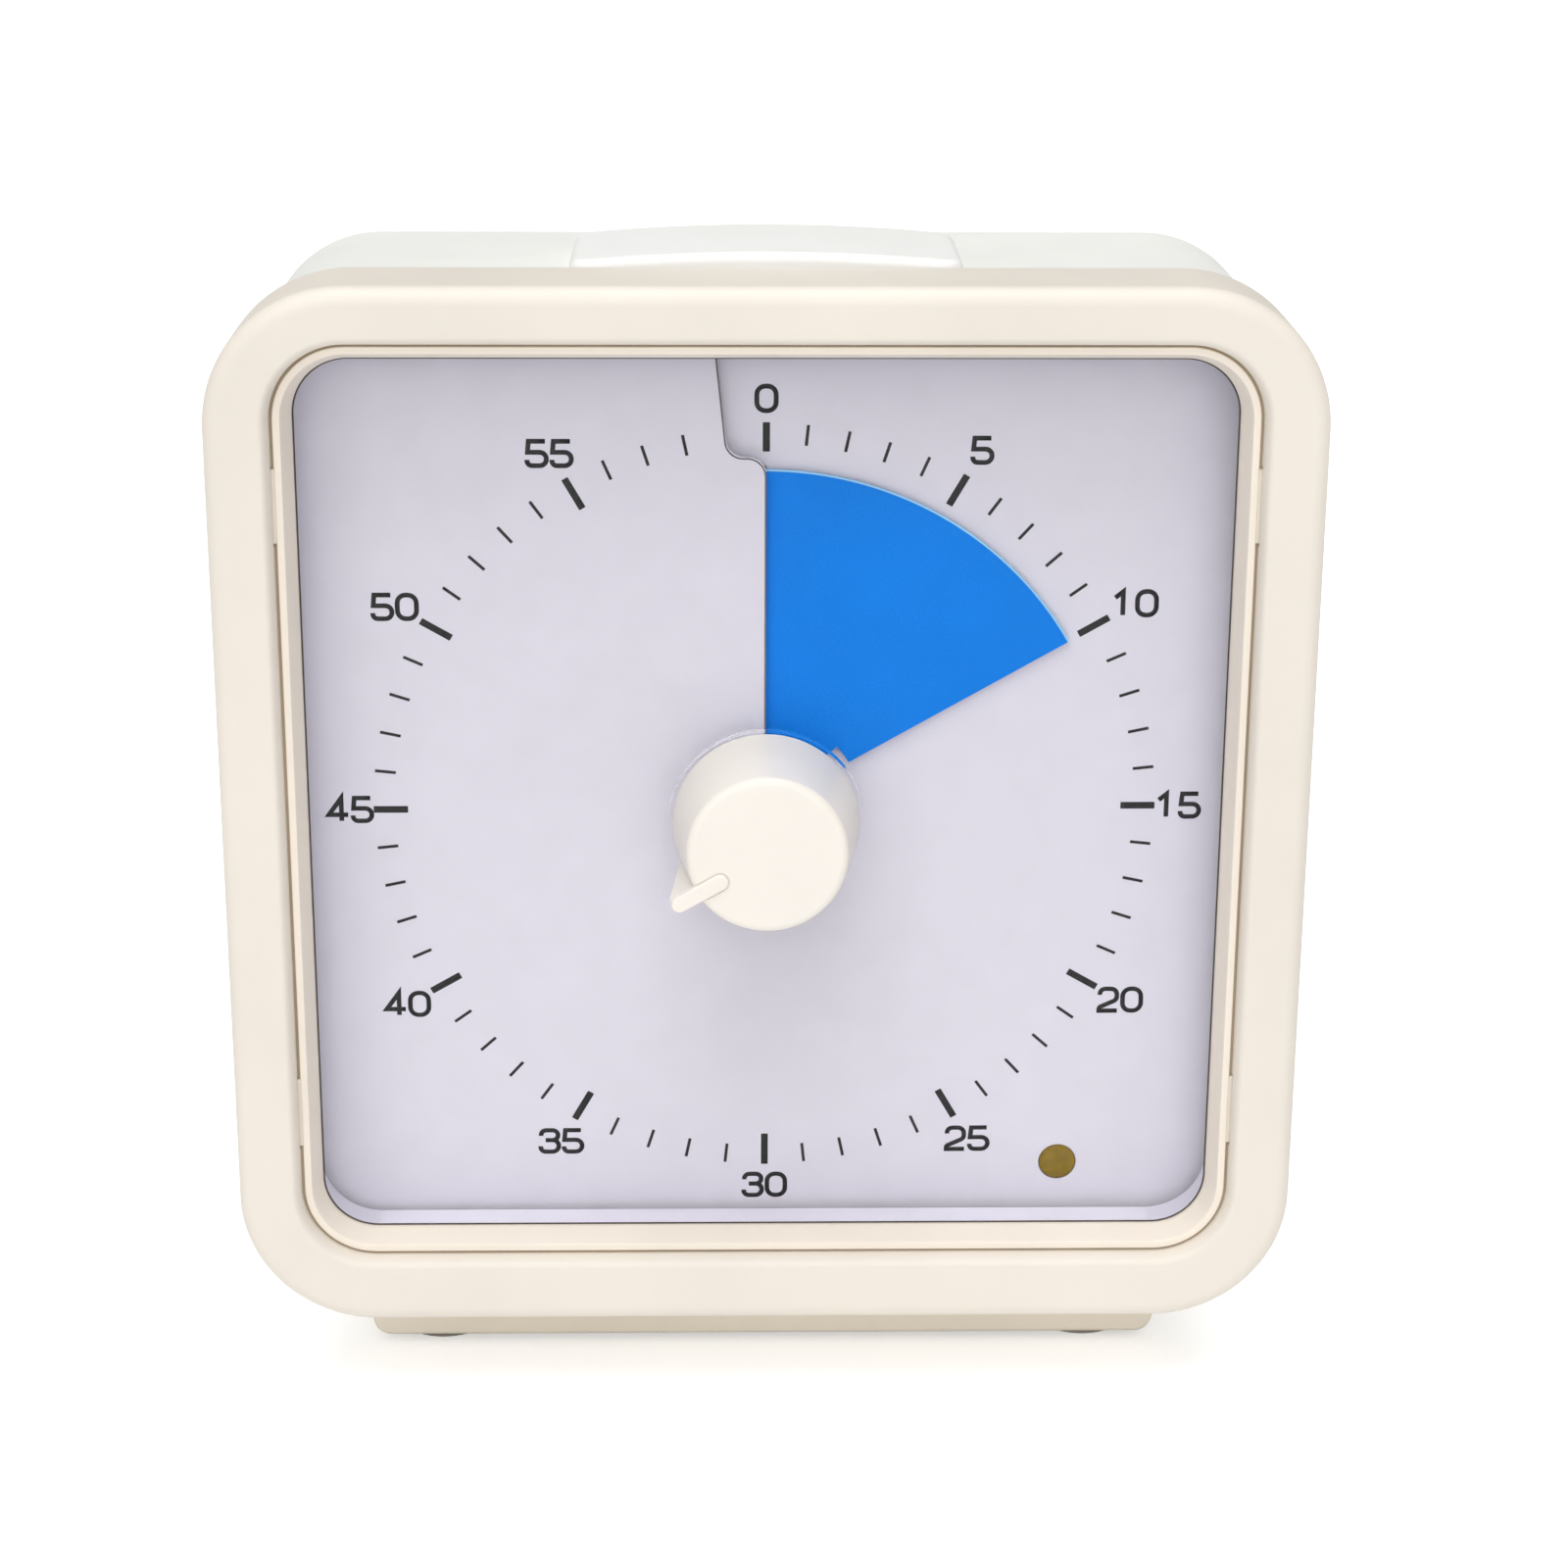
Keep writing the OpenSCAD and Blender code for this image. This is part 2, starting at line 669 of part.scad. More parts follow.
module fourth_wheel() color("khaki") place() translate([fourth_x, 0, fourth_z]) {
    wheel(pinion_teeth, module_b, move_floor + 3.05, move_floor + 4.3, 180 / pinion_teeth);
    wheel(teeth_c, module_c, move_floor + 7, move_floor + 7.6);
    bar(0.9, move_floor + 4.2, move_floor + 7.1);
    bar(arbor_r, move_floor + 2.4, move_y1 - 0.2);
}

module rotor() color("dimgray") place() translate([rotor_x, 0, rotor_z]) {
    bar(magnet_r, stator_y0 - 0.1, stator_y1 + 0.1);
    wheel(rotor_teeth, module_c, move_floor + 6.8, move_floor + 7.8, 180 / rotor_teeth);
    bar(fine_r, move_floor + 2.4, move_y1 - 0.2);
}

// A laminated frame: the rotor turns in its upper bar, and the coil is on its lower bar
module stator_plate() color("slategray") place() slab(stator_y0, stator_y1) difference() {
    translate([stator_x, (stator_top - 14) / 2]) square([15.6, stator_top + 14], center = true);
    translate([stator_x, -1.8]) square([stator_window, 14.4], center = true);
    translate([rotor_x, rotor_z]) circle(r = magnet_r + 0.5);
}

// A spool on the stator's lower bar
module coil_bobbin() color("dimgray") place() translate([stator_x, coil_y, coil_z]) difference() {
    union() {
        span(-coil_half, coil_half) square([2.4, 6.4], center = true);
        for (x = [-coil_half, coil_half - flange_l])
            span(x, x + flange_l) square([5.6, 8.4], center = true);
    }
    span(-coil_half - 1, coil_half + 1) square([1.1, 5.1], center = true);
}

module coil_winding() color("chocolate") place() translate([stator_x, coil_y, coil_z]) difference() {
    span(flange_l - coil_half, coil_half - flange_l) square([5.2, 8], center = true);
    span(-coil_half, coil_half) square([2.4, 6.4], center = true);
}

// ---------- electrics ----------

module circuit_board() color("seagreen") place() {
    difference() {
        block([board_x0, board_y, board_z0], [board_x1, board_y + board_t, board_z1]);
        at_corners(post_c) bar(post_r + 0.2, board_y - 1, board_y + board_t + 1);
    }
    block([board_x0 + 4, board_y + board_t, -8], [board_x0 + 14, board_y + board_t + 1.6, 2]);
    block([board_x0 + 5, board_y + board_t, 8], [board_x0 + 13, board_y + board_t + 2.4, 11]);
}

// Round-nosed lamp that shows through the dial
module dial_lamp() color("darkkhaki") place() translate([lamp_x, 0, -lamp_down]) {
    translate([0, lamp_r - 0.1, 0]) sphere(r = lamp_r);
    bar(lamp_r, lamp_r - 0.1, board_y);
    bar(lamp_r + 0.35, plate_back + 0.3, board_y);
}

// Bar on top of the case: it lights the dial and silences the sounder
module light_button() color("ivory") place() {
    difference() {
        intersection() {
            translate([0, (button_y0 + button_y1) / 2, button_bottom])
                linear_extrude(button_proud + wall + 3) plate_outline(button_l, button_w, 2.2);
            translate([0, button_y1 + 1, body_top + button_proud - crown_r]) rotate([90, 0, 0])
                cylinder(h = button_w + 2, r = crown_r, $fn = 1440);
        }
        block([-button_l / 2 + button_wall, button_y0 + button_wall, button_bottom - 1],
            [button_l / 2 - button_wall, button_y1 - button_wall, button_roof]);
    }
    difference() {
        block([-button_l / 2 - 1.5, plate_back + 0.4, button_bottom],
            [button_l / 2 + 1.5, button_y1 + 1.2, flange_top]);
        block([-button_l / 2 + button_wall, 0, button_bottom - 1],
            [button_l / 2 - button_wall, button_y1 - button_wall, flange_top + 1]);
    }
    translate([0, button_mid, button_bottom]) cylinder(h = button_roof - button_bottom + 0.5, r = 2);
    for (x = [-spring_x, spring_x]) translate([x, button_mid, button_bottom + 1])
        cylinder(h = button_roof - button_bottom - 0.5, r = 3.2);
}

module button_springs() color("silver") place()
    for (x = [-spring_x, spring_x]) translate([x, button_mid, bracket_top])
        coil(2.4, 0.25, button_bottom + 1 - bracket_top, 5);

module switch_bracket() color("gainsboro") place() {
    block([-24, plate_back, bracket_top - bracket_t], [24, button_y1 + 1, bracket_top]);
    for (x = [-21, 19.5])
        block([x, plate_back, bracket_top - 7], [x + 1.5, plate_back + 7, bracket_top - bracket_t + 0.1]);
    for (x = [-spring_x, spring_x]) translate([x, button_mid, bracket_top - 0.1])
        cylinder(h = 2.1, r = 1.6);
}

module switch_body() color("dimgray") place() difference() {
    block([-3.5, button_mid - 3.5, bracket_top], [3.5, button_mid + 3.5, switch_top]);
    translate([0, button_mid, bracket_top + 1.4]) cylinder(h = 6, r = plunger_r + running);
}

module switch_plunger() color("black") place() translate([0, button_mid, 0]) {
    translate([0, 0, bracket_top + 1.5 + button_travel])
        cylinder(h = plunger_top - bracket_top - 1.5 - button_travel, r = plunger_r);
}

module sounder() color("black") place() difference() {
    bar(sounder_r, inner_y - 4, inner_y, grille_x, grille_z);
    bar(sounder_r - 1.5, inner_y - 1.6, inner_y + 1, grille_x, grille_z);
}

module volume_switch() color("dimgray") place() translate([slider_x, 0, slider_z]) difference() {
    block([-7, inner_y - 5, -3.4], [7, inner_y, 3.4]);
    block([-slider_run - 1.9, inner_y - 3.8, -1.7], [slider_run + 1.9, inner_y + 1, 1.7]);
}

module volume_slider() color("black") place() translate([slider_x, 0, slider_z]) {
    block([-1.5, inner_y - 3.6, -1.5], [1.5, body_depth - 0.5, 1.5]);
    block([-0.4, inner_y, -1.5], [0.4, body_depth - 0.1, 1.5]);
}

// ---------- power ----------

// A round cell lying along X, its nub at the end given by side
module cell(side, z) {
    end = bay_half - plate_t;
    bar_x(cell_r, min(side * (end - 1), side * (end - cell_l)),
        max(side * (end - 1), side * (end - cell_l)), cell_y, z);
    bar_x(1.9, min(side * (end - 2), side * end), max(side * (end - 2), side * end), cell_y, z);
}

module lower_cell() color("goldenrod") place() cell(1, lower_z);

module upper_cell() color("goldenrod") place() cell(-1, upper_z);

module contact_plates() color("silver") place() {
    for (x = [-bay_half, bay_half - plate_t], z = [lower_z, upper_z])
        block([x, cell_y - 4.4, z - 4.4], [x + plate_t, cell_y + 4.4, z + 4.4]);
    for (side = [-1, 1])
        translate([side * (bay_half + 1.6), tag_y, lower_z]) cube([3.2 + plate_t, 0.5, 2], center = true);
}

module contact_springs() color("silver") place() {
    height = 2 * bay_half - cell_l - 2 * plate_t;
    translate([plate_t - bay_half, cell_y, lower_z]) rotate([0, 90, 0]) coil(2.9, 0.3, height, 3);
    translate([bay_half - plate_t, cell_y, upper_z]) rotate([0, -90, 0]) coil(2.9, 0.3, height, 3);
}

// Two leads from the battery contacts to the board, made of straight runs and round bends
module battery_leads() color("firebrick") place() {
    x = bay_half + 2.2;
    y0 = board_y + board_t;
    bar(lead_r, y0, tag_y - 0.25, x, lower_z);
    bar(lead_r, lead_y, tag_y - 0.25, -x, lower_z);
    bar_x(lead_r, -x, board_x0 + 1.5, lead_y, lower_z);
    bar(lead_r, y0, lead_y, board_x0 + 1.5, lower_z);
    for (bend = [-x, board_x0 + 1.5]) translate([bend, lead_y, lower_z]) sphere(r = lead_r);
}

module battery_cover() color("ivory") place() {
    translate([0, 0, (bay_z0 + bay_z1) / 2]) difference() {
        slab(body_depth - cover_t, body_depth) plate_outline(2 * (bay_half + cover_lip - 0.2),
            bay_h + 2 * (cover_lip - 0.2), 1.3);
        translate([0, body_depth + 5, bay_h / 2 - 3]) rotate([0, 90, 0])
            cylinder(h = 14, r = 5.8, center = true);
    }
    block([-4, body_depth - cover_t - 2.4, bay_z1 - 1.5], [4, body_depth - cover_t + 0.1, bay_z1 - 0.3]);
}

// ---------- choice of part ----------

front_bezel();
lens_frame();
lens();
rear_housing();
housing_screws();
foot_plinth();
plinth_screws();
foot_pads();
chassis_plate();
dial_sheet();
time_disc();
disc_hub();
spindle();
set_knob();
bush_nut();
movement_case();
movement_cover();
movement_screws();
clutch_spring();
centre_wheel();
wheel_clip();
third_wheel();
train_bridge();
fourth_wheel();
rotor();
stator_plate();
coil_bobbin();
coil_winding();
circuit_board();
dial_lamp();
light_button();
button_springs();
switch_bracket();
switch_body();
switch_plunger();
sounder();
volume_switch();
volume_slider();
upper_cell();
lower_cell();
contact_plates();
contact_springs();
battery_leads();
battery_cover();
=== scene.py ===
# Sixty-minute visual countdown timer: the finished look of every piece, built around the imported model.
# Shapes are worked out in millimetres about the dial's centre (x right, y back, z up), then set down
# in metres.

import math

import bmesh
import bpy
from mathutils import Matrix, Vector


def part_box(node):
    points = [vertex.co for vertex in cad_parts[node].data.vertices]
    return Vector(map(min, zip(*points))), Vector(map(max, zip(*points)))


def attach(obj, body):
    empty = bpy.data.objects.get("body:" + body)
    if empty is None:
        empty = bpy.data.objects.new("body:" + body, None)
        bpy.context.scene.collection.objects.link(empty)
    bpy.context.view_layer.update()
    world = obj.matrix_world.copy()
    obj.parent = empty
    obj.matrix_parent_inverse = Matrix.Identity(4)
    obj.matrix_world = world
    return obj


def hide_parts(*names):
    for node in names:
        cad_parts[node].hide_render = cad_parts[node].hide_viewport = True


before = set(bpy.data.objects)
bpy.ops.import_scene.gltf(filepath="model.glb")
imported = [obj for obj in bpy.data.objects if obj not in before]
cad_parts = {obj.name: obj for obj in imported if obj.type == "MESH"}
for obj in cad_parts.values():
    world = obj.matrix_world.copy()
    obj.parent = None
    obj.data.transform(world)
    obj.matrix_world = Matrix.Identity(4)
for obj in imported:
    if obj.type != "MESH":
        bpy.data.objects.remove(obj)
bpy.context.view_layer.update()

# ---------- places and sizes taken from the frame ----------

MM = 0.001
X, Y, Z = Vector((1, 0, 0)), Vector((0, 1, 0)), Vector((0, 0, 1))


def centre_of(node):
    low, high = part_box(node)
    return (low + high) / 2


DIAL = Vector((centre_of("spindle").x, centre_of("dial_sheet").y, centre_of("spindle").z))


def box_mm(node):
    """Lowest and highest corner of a node, in millimetres about the dial's centre."""
    low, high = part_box(node)
    return (low - DIAL) / MM, (high - DIAL) / MM


bezel_low, bezel_high = box_mm("front_bezel")
ring_low, ring_high = box_mm("lens_frame")
lens_low, lens_high = box_mm("lens")
body_high = box_mm("rear_housing")[1]
sheet_high = box_mm("dial_sheet")[1]
disc_low, disc_high = box_mm("time_disc")
knob_low, knob_high = box_mm("set_knob")
button_high = box_mm("light_button")[1]
foot_low, foot_high = box_mm("foot_plinth")
lamp_low, lamp_high = box_mm("dial_lamp")
cover_low, cover_high = box_mm("battery_cover")
springs_low, springs_high = box_mm("button_springs")

# The case is a rounded square. Its corner arcs are centred CORNER_C from the middle both ways, and the
# values named _U are distances outward from those centres.
CORNER_R = 13.0
CORNER_C = bezel_high.x - CORNER_R
BAND = 6.0
INNER_U = CORNER_R - BAND
RING_GAP = 0.15
RING_U = INNER_U - RING_GAP
SIGHT_U = INNER_U - 1.75
BODY_U = body_high.x - CORNER_C
WALL = 2.0

# levels from front to back, and heights about the dial's centre
FACE_Y = bezel_low.y
RING_Y = ring_low.y
LENS_Y = lens_low.y
REAR_Y = body_high.y
BODY_TOP = body_high.z
FRAME_UP = (bezel_low.z + bezel_high.z) / 2
WINDOW_UP = 0.7
WINDOW_Z = FRAME_UP + WINDOW_UP

# the dial and the disc: one turn of a screw of this pitch, whose start is at the top
PITCH = 1.6
SHEET_T = 0.5
FILM_T = 0.3
REST_DEG = 60.0
SLIT_R = 34.7
SLIT_STEP = 6.0
SLIT_ROUND = 1.75
DIAL_HOLE = 6.2
DISC_R = 33.1
BASE_R = 8.9

# vertices closer than these are one, and a cutter runs OVER past what it cuts
WELD = 0.0005
SHEET_WELD = 0.005
OVER = 1.0


def ramp_y(deg):
    """Level of the dial's middle surface, which comes forward as it goes clockwise from the top."""
    return PITCH * (0.5 - deg / 360)


# ---------- shape tools ----------


def rounded(corners, per_quarter=8):
    """Closed outline through corners (a, b, radius), each corner drawn as an arc."""
    points = []
    count = len(corners)
    for i, (a, b, radius) in enumerate(corners):
        here = Vector((a, b))
        if radius == 0:
            points.append(here)
            continue
        back = (Vector(corners[i - 1][:2]) - here).normalized()
        ahead = (Vector(corners[(i + 1) % count][:2]) - here).normalized()
        half = back.angle(ahead) / 2
        centre = here + (back + ahead).normalized() * radius / math.sin(half)
        start = here + back * radius / math.tan(half) - centre
        swing = math.pi - 2 * half
        if start.y * back.x - start.x * back.y < 0:
            swing = -swing
        steps = max(2, round(per_quarter * abs(swing) / (math.pi / 2)))
        for k in range(steps + 1):
            points.append(centre + Matrix.Rotation(swing * k / steps, 2) @ start)
    return points


def fan(from_deg, to_deg, steps):
    """Evenly spaced angles from one to another, both ends included, in radians."""
    return [math.radians(from_deg + (to_deg - from_deg) * k / steps) for k in range(steps + 1)]


def new_edges(result, verts):
    """Edges of a bmesh result whose two ends are both among verts."""
    found = set(verts)
    return [e for e in result if isinstance(e, bmesh.types.BMEdge) and set(e.verts) <= found]


def push_edges(bm, edges, vec):
    """Extrude a chain of edges and return the moved chain."""
    made = bmesh.ops.extrude_edge_only(bm, edges=edges)["geom"]
    verts = [g for g in made if isinstance(g, bmesh.types.BMVert)]
    bmesh.ops.translate(bm, verts=verts, vec=vec)
    return new_edges(made, verts)


def clean(bm):
    """Merge doubles and point all faces outwards."""
    bmesh.ops.remove_doubles(bm, verts=bm.verts, dist=WELD)
    bmesh.ops.recalc_face_normals(bm, faces=bm.faces)


def sweep_case(outline, closed=True):
    """Carry an outline of (outward, back) round the rounded square of the case."""
    bm = bmesh.new()
    verts = [bm.verts.new((0, back, CORNER_C + out)) for out, back in outline]
    ends = verts[1:] + verts[:1] if closed else verts[1:]
    chain = [bm.edges.new(pair) for pair in zip(verts, ends)]
    chain = push_edges(bm, chain, X * CORNER_C)
    turned = bmesh.ops.spin(bm, geom=chain, cent=(CORNER_C, 0, CORNER_C), axis=Y, angle=math.pi / 2,
                            steps=20, dvec=(0, 0, 0), use_duplicate=False)["geom_last"]
    last = [g for g in turned if isinstance(g, bmesh.types.BMEdge)]
    push_edges(bm, last, -Z * CORNER_C)
    for axis in ("X", "Z"):
        bmesh.ops.mirror(bm, geom=bm.verts[:] + bm.edges[:] + bm.faces[:], matrix=Matrix(),
                         merge_dist=WELD, axis=axis)
    clean(bm)
    bmesh.ops.translate(bm, verts=bm.verts, vec=Z * FRAME_UP)
    return bm


def raise_window(bm, reach):
    """Lift the part of a case-shaped piece that lies within reach of its corner arcs' centre line."""
    for v in bm.verts:
        side, up = abs(v.co.x) - CORNER_C, abs(v.co.z - FRAME_UP) - CORNER_C
        out = math.hypot(side, up) if min(side, up) > 0 else max(side, up)
        if out < reach:
            v.co.z += WINDOW_UP


def window_strip(near_u, far_u, front, back):
    """A strip of plain section round the window, between two distances outward and two levels."""
    bm = sweep_case([(near_u, front), (near_u, back), (far_u, back), (far_u, front)])
    raise_window(bm, CORNER_R)
    return bm


def close_holes(bm):
    """Fill every open rim with a face."""
    rims = [e for e in bm.edges if e.is_boundary]
    bmesh.ops.holes_fill(bm, edges=rims, sides=0)
    bmesh.ops.recalc_face_normals(bm, faces=bm.faces)


def face_front(bm):
    """Turn the faces of an open sheet to the front."""
    for face in bm.faces:
        if face.normal.y > 0:
            face.normal_flip()


def thicken(bm, thickness):
    """Give an open sheet its thickness."""
    bmesh.ops.solidify(bm, geom=bm.faces[:], thickness=thickness)
    bmesh.ops.recalc_face_normals(bm, faces=bm.faces)


def settle(bm, level):
    """Move a shape back or forward until the middle of its depth is at a level."""
    middle = (min(v.co.y for v in bm.verts) + max(v.co.y for v in bm.verts)) / 2
    bmesh.ops.translate(bm, verts=bm.verts, vec=(0, level - middle, 0))


def lathe(outline, steps, at=(0, 0)):
    """Turn an open outline of (radius, back), which starts and ends on the axis, about an axis along Y."""
    bm = bmesh.new()
    verts = [bm.verts.new((0, back, radius)) for radius, back in outline]
    edges = [bm.edges.new(pair) for pair in zip(verts, verts[1:])]
    bmesh.ops.spin(bm, geom=verts + edges, cent=(0, 0, 0), axis=Y, angle=2 * math.pi, steps=steps,
                   dvec=(0, 0, 0), use_duplicate=False, use_merge=True)
    clean(bm)
    bmesh.ops.translate(bm, verts=bm.verts, vec=(at[0], 0, at[1]))
    return bm


def bevel(bm, edges, width, segments):
    bmesh.ops.bevel(bm, geom=edges, offset=width, offset_type="OFFSET", segments=segments, profile=0.5,
                    affect="EDGES", material=-1, clamp_overlap=True)


def edges_of(bm, faces):
    """Edges of some faces, in the mesh's own order."""
    chosen = set(faces)
    return [e for e in bm.edges if chosen.intersection(e.link_faces)]


def along(edge, axis):
    """Whether a straight edge runs along an axis."""
    way = (edge.verts[1].co - edge.verts[0].co).normalized()
    return abs(way.dot(axis)) > 0.999


def block(low, high, axis=None, corner=0.0, rim=0.0, segments=6):
    """A box with its edges along one axis rounded by corner, and the rims of its two ends by rim."""
    bm = bmesh.new()
    bmesh.ops.create_cube(bm, size=1)
    low, high = Vector(low), Vector(high)
    bmesh.ops.scale(bm, verts=bm.verts, vec=high - low)
    bmesh.ops.translate(bm, verts=bm.verts, vec=(low + high) / 2)
    if corner:
        bevel(bm, [e for e in bm.edges if along(e, axis)], corner, segments)
    if rim:
        ends = [f for f in bm.faces if abs(f.normal.dot(axis)) > 0.999]
        bevel(bm, edges_of(bm, ends), rim, 3)
    return bm


def rod(radius, low, high, at, axis="Y", sides=32):
    """A plain round bar between two levels of one axis."""
    bm = bmesh.new()
    bmesh.ops.create_cone(bm, cap_ends=True, segments=sides, radius1=radius, radius2=radius,
                          depth=high - low)
    middle = (low + high) / 2
    if axis == "Y":
        bmesh.ops.rotate(bm, verts=bm.verts, cent=(0, 0, 0), matrix=Matrix.Rotation(math.pi / 2, 3, "X"))
        bmesh.ops.translate(bm, verts=bm.verts, vec=(at[0], middle, at[1]))
    elif axis == "X":
        bmesh.ops.rotate(bm, verts=bm.verts, cent=(0, 0, 0), matrix=Matrix.Rotation(math.pi / 2, 3, "Y"))
        bmesh.ops.translate(bm, verts=bm.verts, vec=(middle, at[0], at[1]))
    else:
        bmesh.ops.translate(bm, verts=bm.verts, vec=(at[0], at[1], middle))
    return bm


def gather(shapes):
    """Several bmeshes as one."""
    whole = bmesh.new()
    for bm in shapes:
        mesh = bpy.data.meshes.new("part")
        bm.to_mesh(mesh)
        bm.free()
        whole.from_mesh(mesh)
        bpy.data.meshes.remove(mesh)
    return whole


def to_object(name, bm):
    """An object from millimetres about the dial's centre, set down in metres at the dial."""
    bmesh.ops.scale(bm, verts=bm.verts, vec=(MM, MM, MM))
    bmesh.ops.translate(bm, verts=bm.verts, vec=DIAL)
    mesh = bpy.data.meshes.new(name)
    bm.to_mesh(mesh)
    bm.free()
    thing = bpy.data.objects.new(name, mesh)
    bpy.context.scene.collection.objects.link(thing)
    return thing


def combine(thing, shape, how):
    """Cut a shape out of a finished object, or join it on."""
    tool = to_object("tool", shape)
    step = thing.modifiers.new("combine", "BOOLEAN")
    step.operation = how
    step.object = tool
    step.solver = "EXACT"
    made = bpy.data.meshes.new_from_object(thing.evaluated_get(bpy.context.evaluated_depsgraph_get()))
    thing.modifiers.clear()
    thing.data = made
    bpy.data.objects.remove(tool)


def smooth(thing, sharp_deg):
    """Smooth shading that keeps the edges sharper than an angle."""
    mesh = thing.data
    for face in mesh.polygons:
        face.use_smooth = True
    mesh.set_sharp_from_angle(angle=math.radians(sharp_deg))
    even = thing.modifiers.new("even shading", "WEIGHTED_NORMAL")
    even.keep_sharp = True


def piece(name, shape, body, slot, look, *nodes, sharp_deg=32):
    """Finish a piece: shading, material, body and the CAD nodes that it stands for, which are hidden. The
    slot is not used.
    """
    thing = shape if isinstance(shape, bpy.types.Object) else to_object(name, shape)
    thing.name = name
    thing.data.name = name
    smooth(thing, sharp_deg)
    thing.data.materials.clear()
    thing.data.materials.append(look)
    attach(thing, body)
    if nodes:
        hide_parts(*nodes)


# ---------- materials ----------


def linear(colour):
    """Screen colour 0-255 to scene colour."""
    def channel(c):
        c = c / 255
        return c / 12.92 if c <= 0.04045 else ((c + 0.055) / 1.055) ** 2.4
    return tuple(channel(c) for c in colour) + (1.0,)


def start(name):
    """A new material, its node tree, its shader and the object's own coordinates."""
    look = bpy.data.materials.new(name)
    look.use_nodes = True
    tree = look.node_tree
    shader = tree.nodes["Principled BSDF"]
    coords = tree.nodes.new("ShaderNodeTexCoord").outputs["Object"]
    return look, tree, shader, coords


def noise(tree, coords, scale, detail, roughness=0.55, stretch=None):
    """Cloudy pattern, of so many waves to the metre, which can be drawn out along an axis."""
    if stretch:
        turn = tree.nodes.new("ShaderNodeMapping")
        turn.inputs["Scale"].default_value = stretch
        tree.links.new(coords, turn.inputs["Vector"])
        coords = turn.outputs["Vector"]
    node = tree.nodes.new("ShaderNodeTexNoise")
    node.inputs["Scale"].default_value = scale
    node.inputs["Detail"].default_value = detail
    node.inputs["Roughness"].default_value = roughness
    tree.links.new(coords, node.inputs["Vector"])
    return node.outputs["Fac"]


def between(tree, value, low, high, start_at=0.3, end_at=0.7):
    """Spread the part of a value that varies over a range of its own."""
    node = tree.nodes.new("ShaderNodeMapRange")
    node.inputs["From Min"].default_value = start_at
    node.inputs["From Max"].default_value = end_at
    node.inputs["To Min"].default_value = low
    node.inputs["To Max"].default_value = high
    tree.links.new(value, node.inputs["Value"])
    return node.outputs["Result"]


def blend_colours(tree, value, one, two):
    """From one colour to another as a value goes from 0 to 1."""
    node = tree.nodes.new("ShaderNodeMix")
    node.data_type = "RGBA"
    node.inputs["A"].default_value = one
    node.inputs["B"].default_value = two
    tree.links.new(value, node.inputs["Factor"])
    return node.outputs["Result"]


def bump(tree, shader, height, strength, depth_mm):
    """Fine relief, too small for the mesh."""
    node = tree.nodes.new("ShaderNodeBump")
    node.inputs["Strength"].default_value = strength
    node.inputs["Distance"].default_value = depth_mm * MM
    tree.links.new(height, node.inputs["Height"])
    tree.links.new(node.outputs["Normal"], shader.inputs["Normal"])


def shade(colour, factor):
    """A colour made darker or lighter."""
    return tuple(min(1.0, c * factor) for c in colour[:3]) + (1.0,)


def moulded(name, colour, rough, grain_mm=0.25, depth_mm=0.012, vary=0.03, metal=0.0, coat=0.0):
    """Moulded or machined surface: a slow drift of colour, a fine spark-eroded grain and uneven gloss."""
    look, tree, shader, coords = start(name)
    base = linear(colour)
    drift = between(tree, noise(tree, coords, 45, 4), 0, 1)
    mixed = blend_colours(tree, drift, shade(base, 1 - vary), shade(base, 1 + vary))
    tree.links.new(mixed, shader.inputs["Base Color"])
    gloss = between(tree, noise(tree, coords, 160, 5, 0.6), rough - 0.05, rough + 0.06)
    tree.links.new(gloss, shader.inputs["Roughness"])
    bump(tree, shader, noise(tree, coords, 1 / (grain_mm * MM), 2), 0.35, depth_mm)
    shader.inputs["Metallic"].default_value = metal
    if coat:
        shader.inputs["Coat Weight"].default_value = coat
        shader.inputs["Coat Roughness"].default_value = 0.15
    return look


def brushed(name, colour, rough, stretch):
    """Drawn or rolled metal, with fine lines along one way."""
    look, tree, shader, coords = start(name)
    base = linear(colour)
    lines = noise(tree, coords, 900, 4, 0.6, stretch)
    mixed = blend_colours(tree, between(tree, lines, 0, 1), shade(base, 0.86), shade(base, 1.08))
    tree.links.new(mixed, shader.inputs["Base Color"])
    tree.links.new(between(tree, lines, rough - 0.08, rough + 0.1), shader.inputs["Roughness"])
    bump(tree, shader, lines, 0.3, 0.01)
    shader.inputs["Metallic"].default_value = 1.0
    return look


def clear_plastic(name):
    """Clear lens that lets lamp light straight through, with a faint film of fine scratches."""
    look, tree, shader, coords = start(name)
    shader.inputs["Base Color"].default_value = (0.985, 0.985, 0.99, 1)
    shader.inputs["Transmission Weight"].default_value = 1.0
    shader.inputs["IOR"].default_value = 1.12
    haze = between(tree, noise(tree, coords, 220, 6, 0.7), 0.0, 0.035, 0.45, 0.8)
    tree.links.new(haze, shader.inputs["Roughness"])
    bump(tree, shader, noise(tree, coords, 30, 2), 0.08, 0.02)
    path = tree.nodes.new("ShaderNodeLightPath")
    through = tree.nodes.new("ShaderNodeBsdfTransparent")
    mix = tree.nodes.new("ShaderNodeMixShader")
    tree.links.new(path.outputs["Is Shadow Ray"], mix.inputs["Fac"])
    tree.links.new(shader.outputs["BSDF"], mix.inputs[1])
    tree.links.new(through.outputs["BSDF"], mix.inputs[2])
    tree.links.new(mix.outputs["Shader"], tree.nodes["Material Output"].inputs["Surface"])
    return look


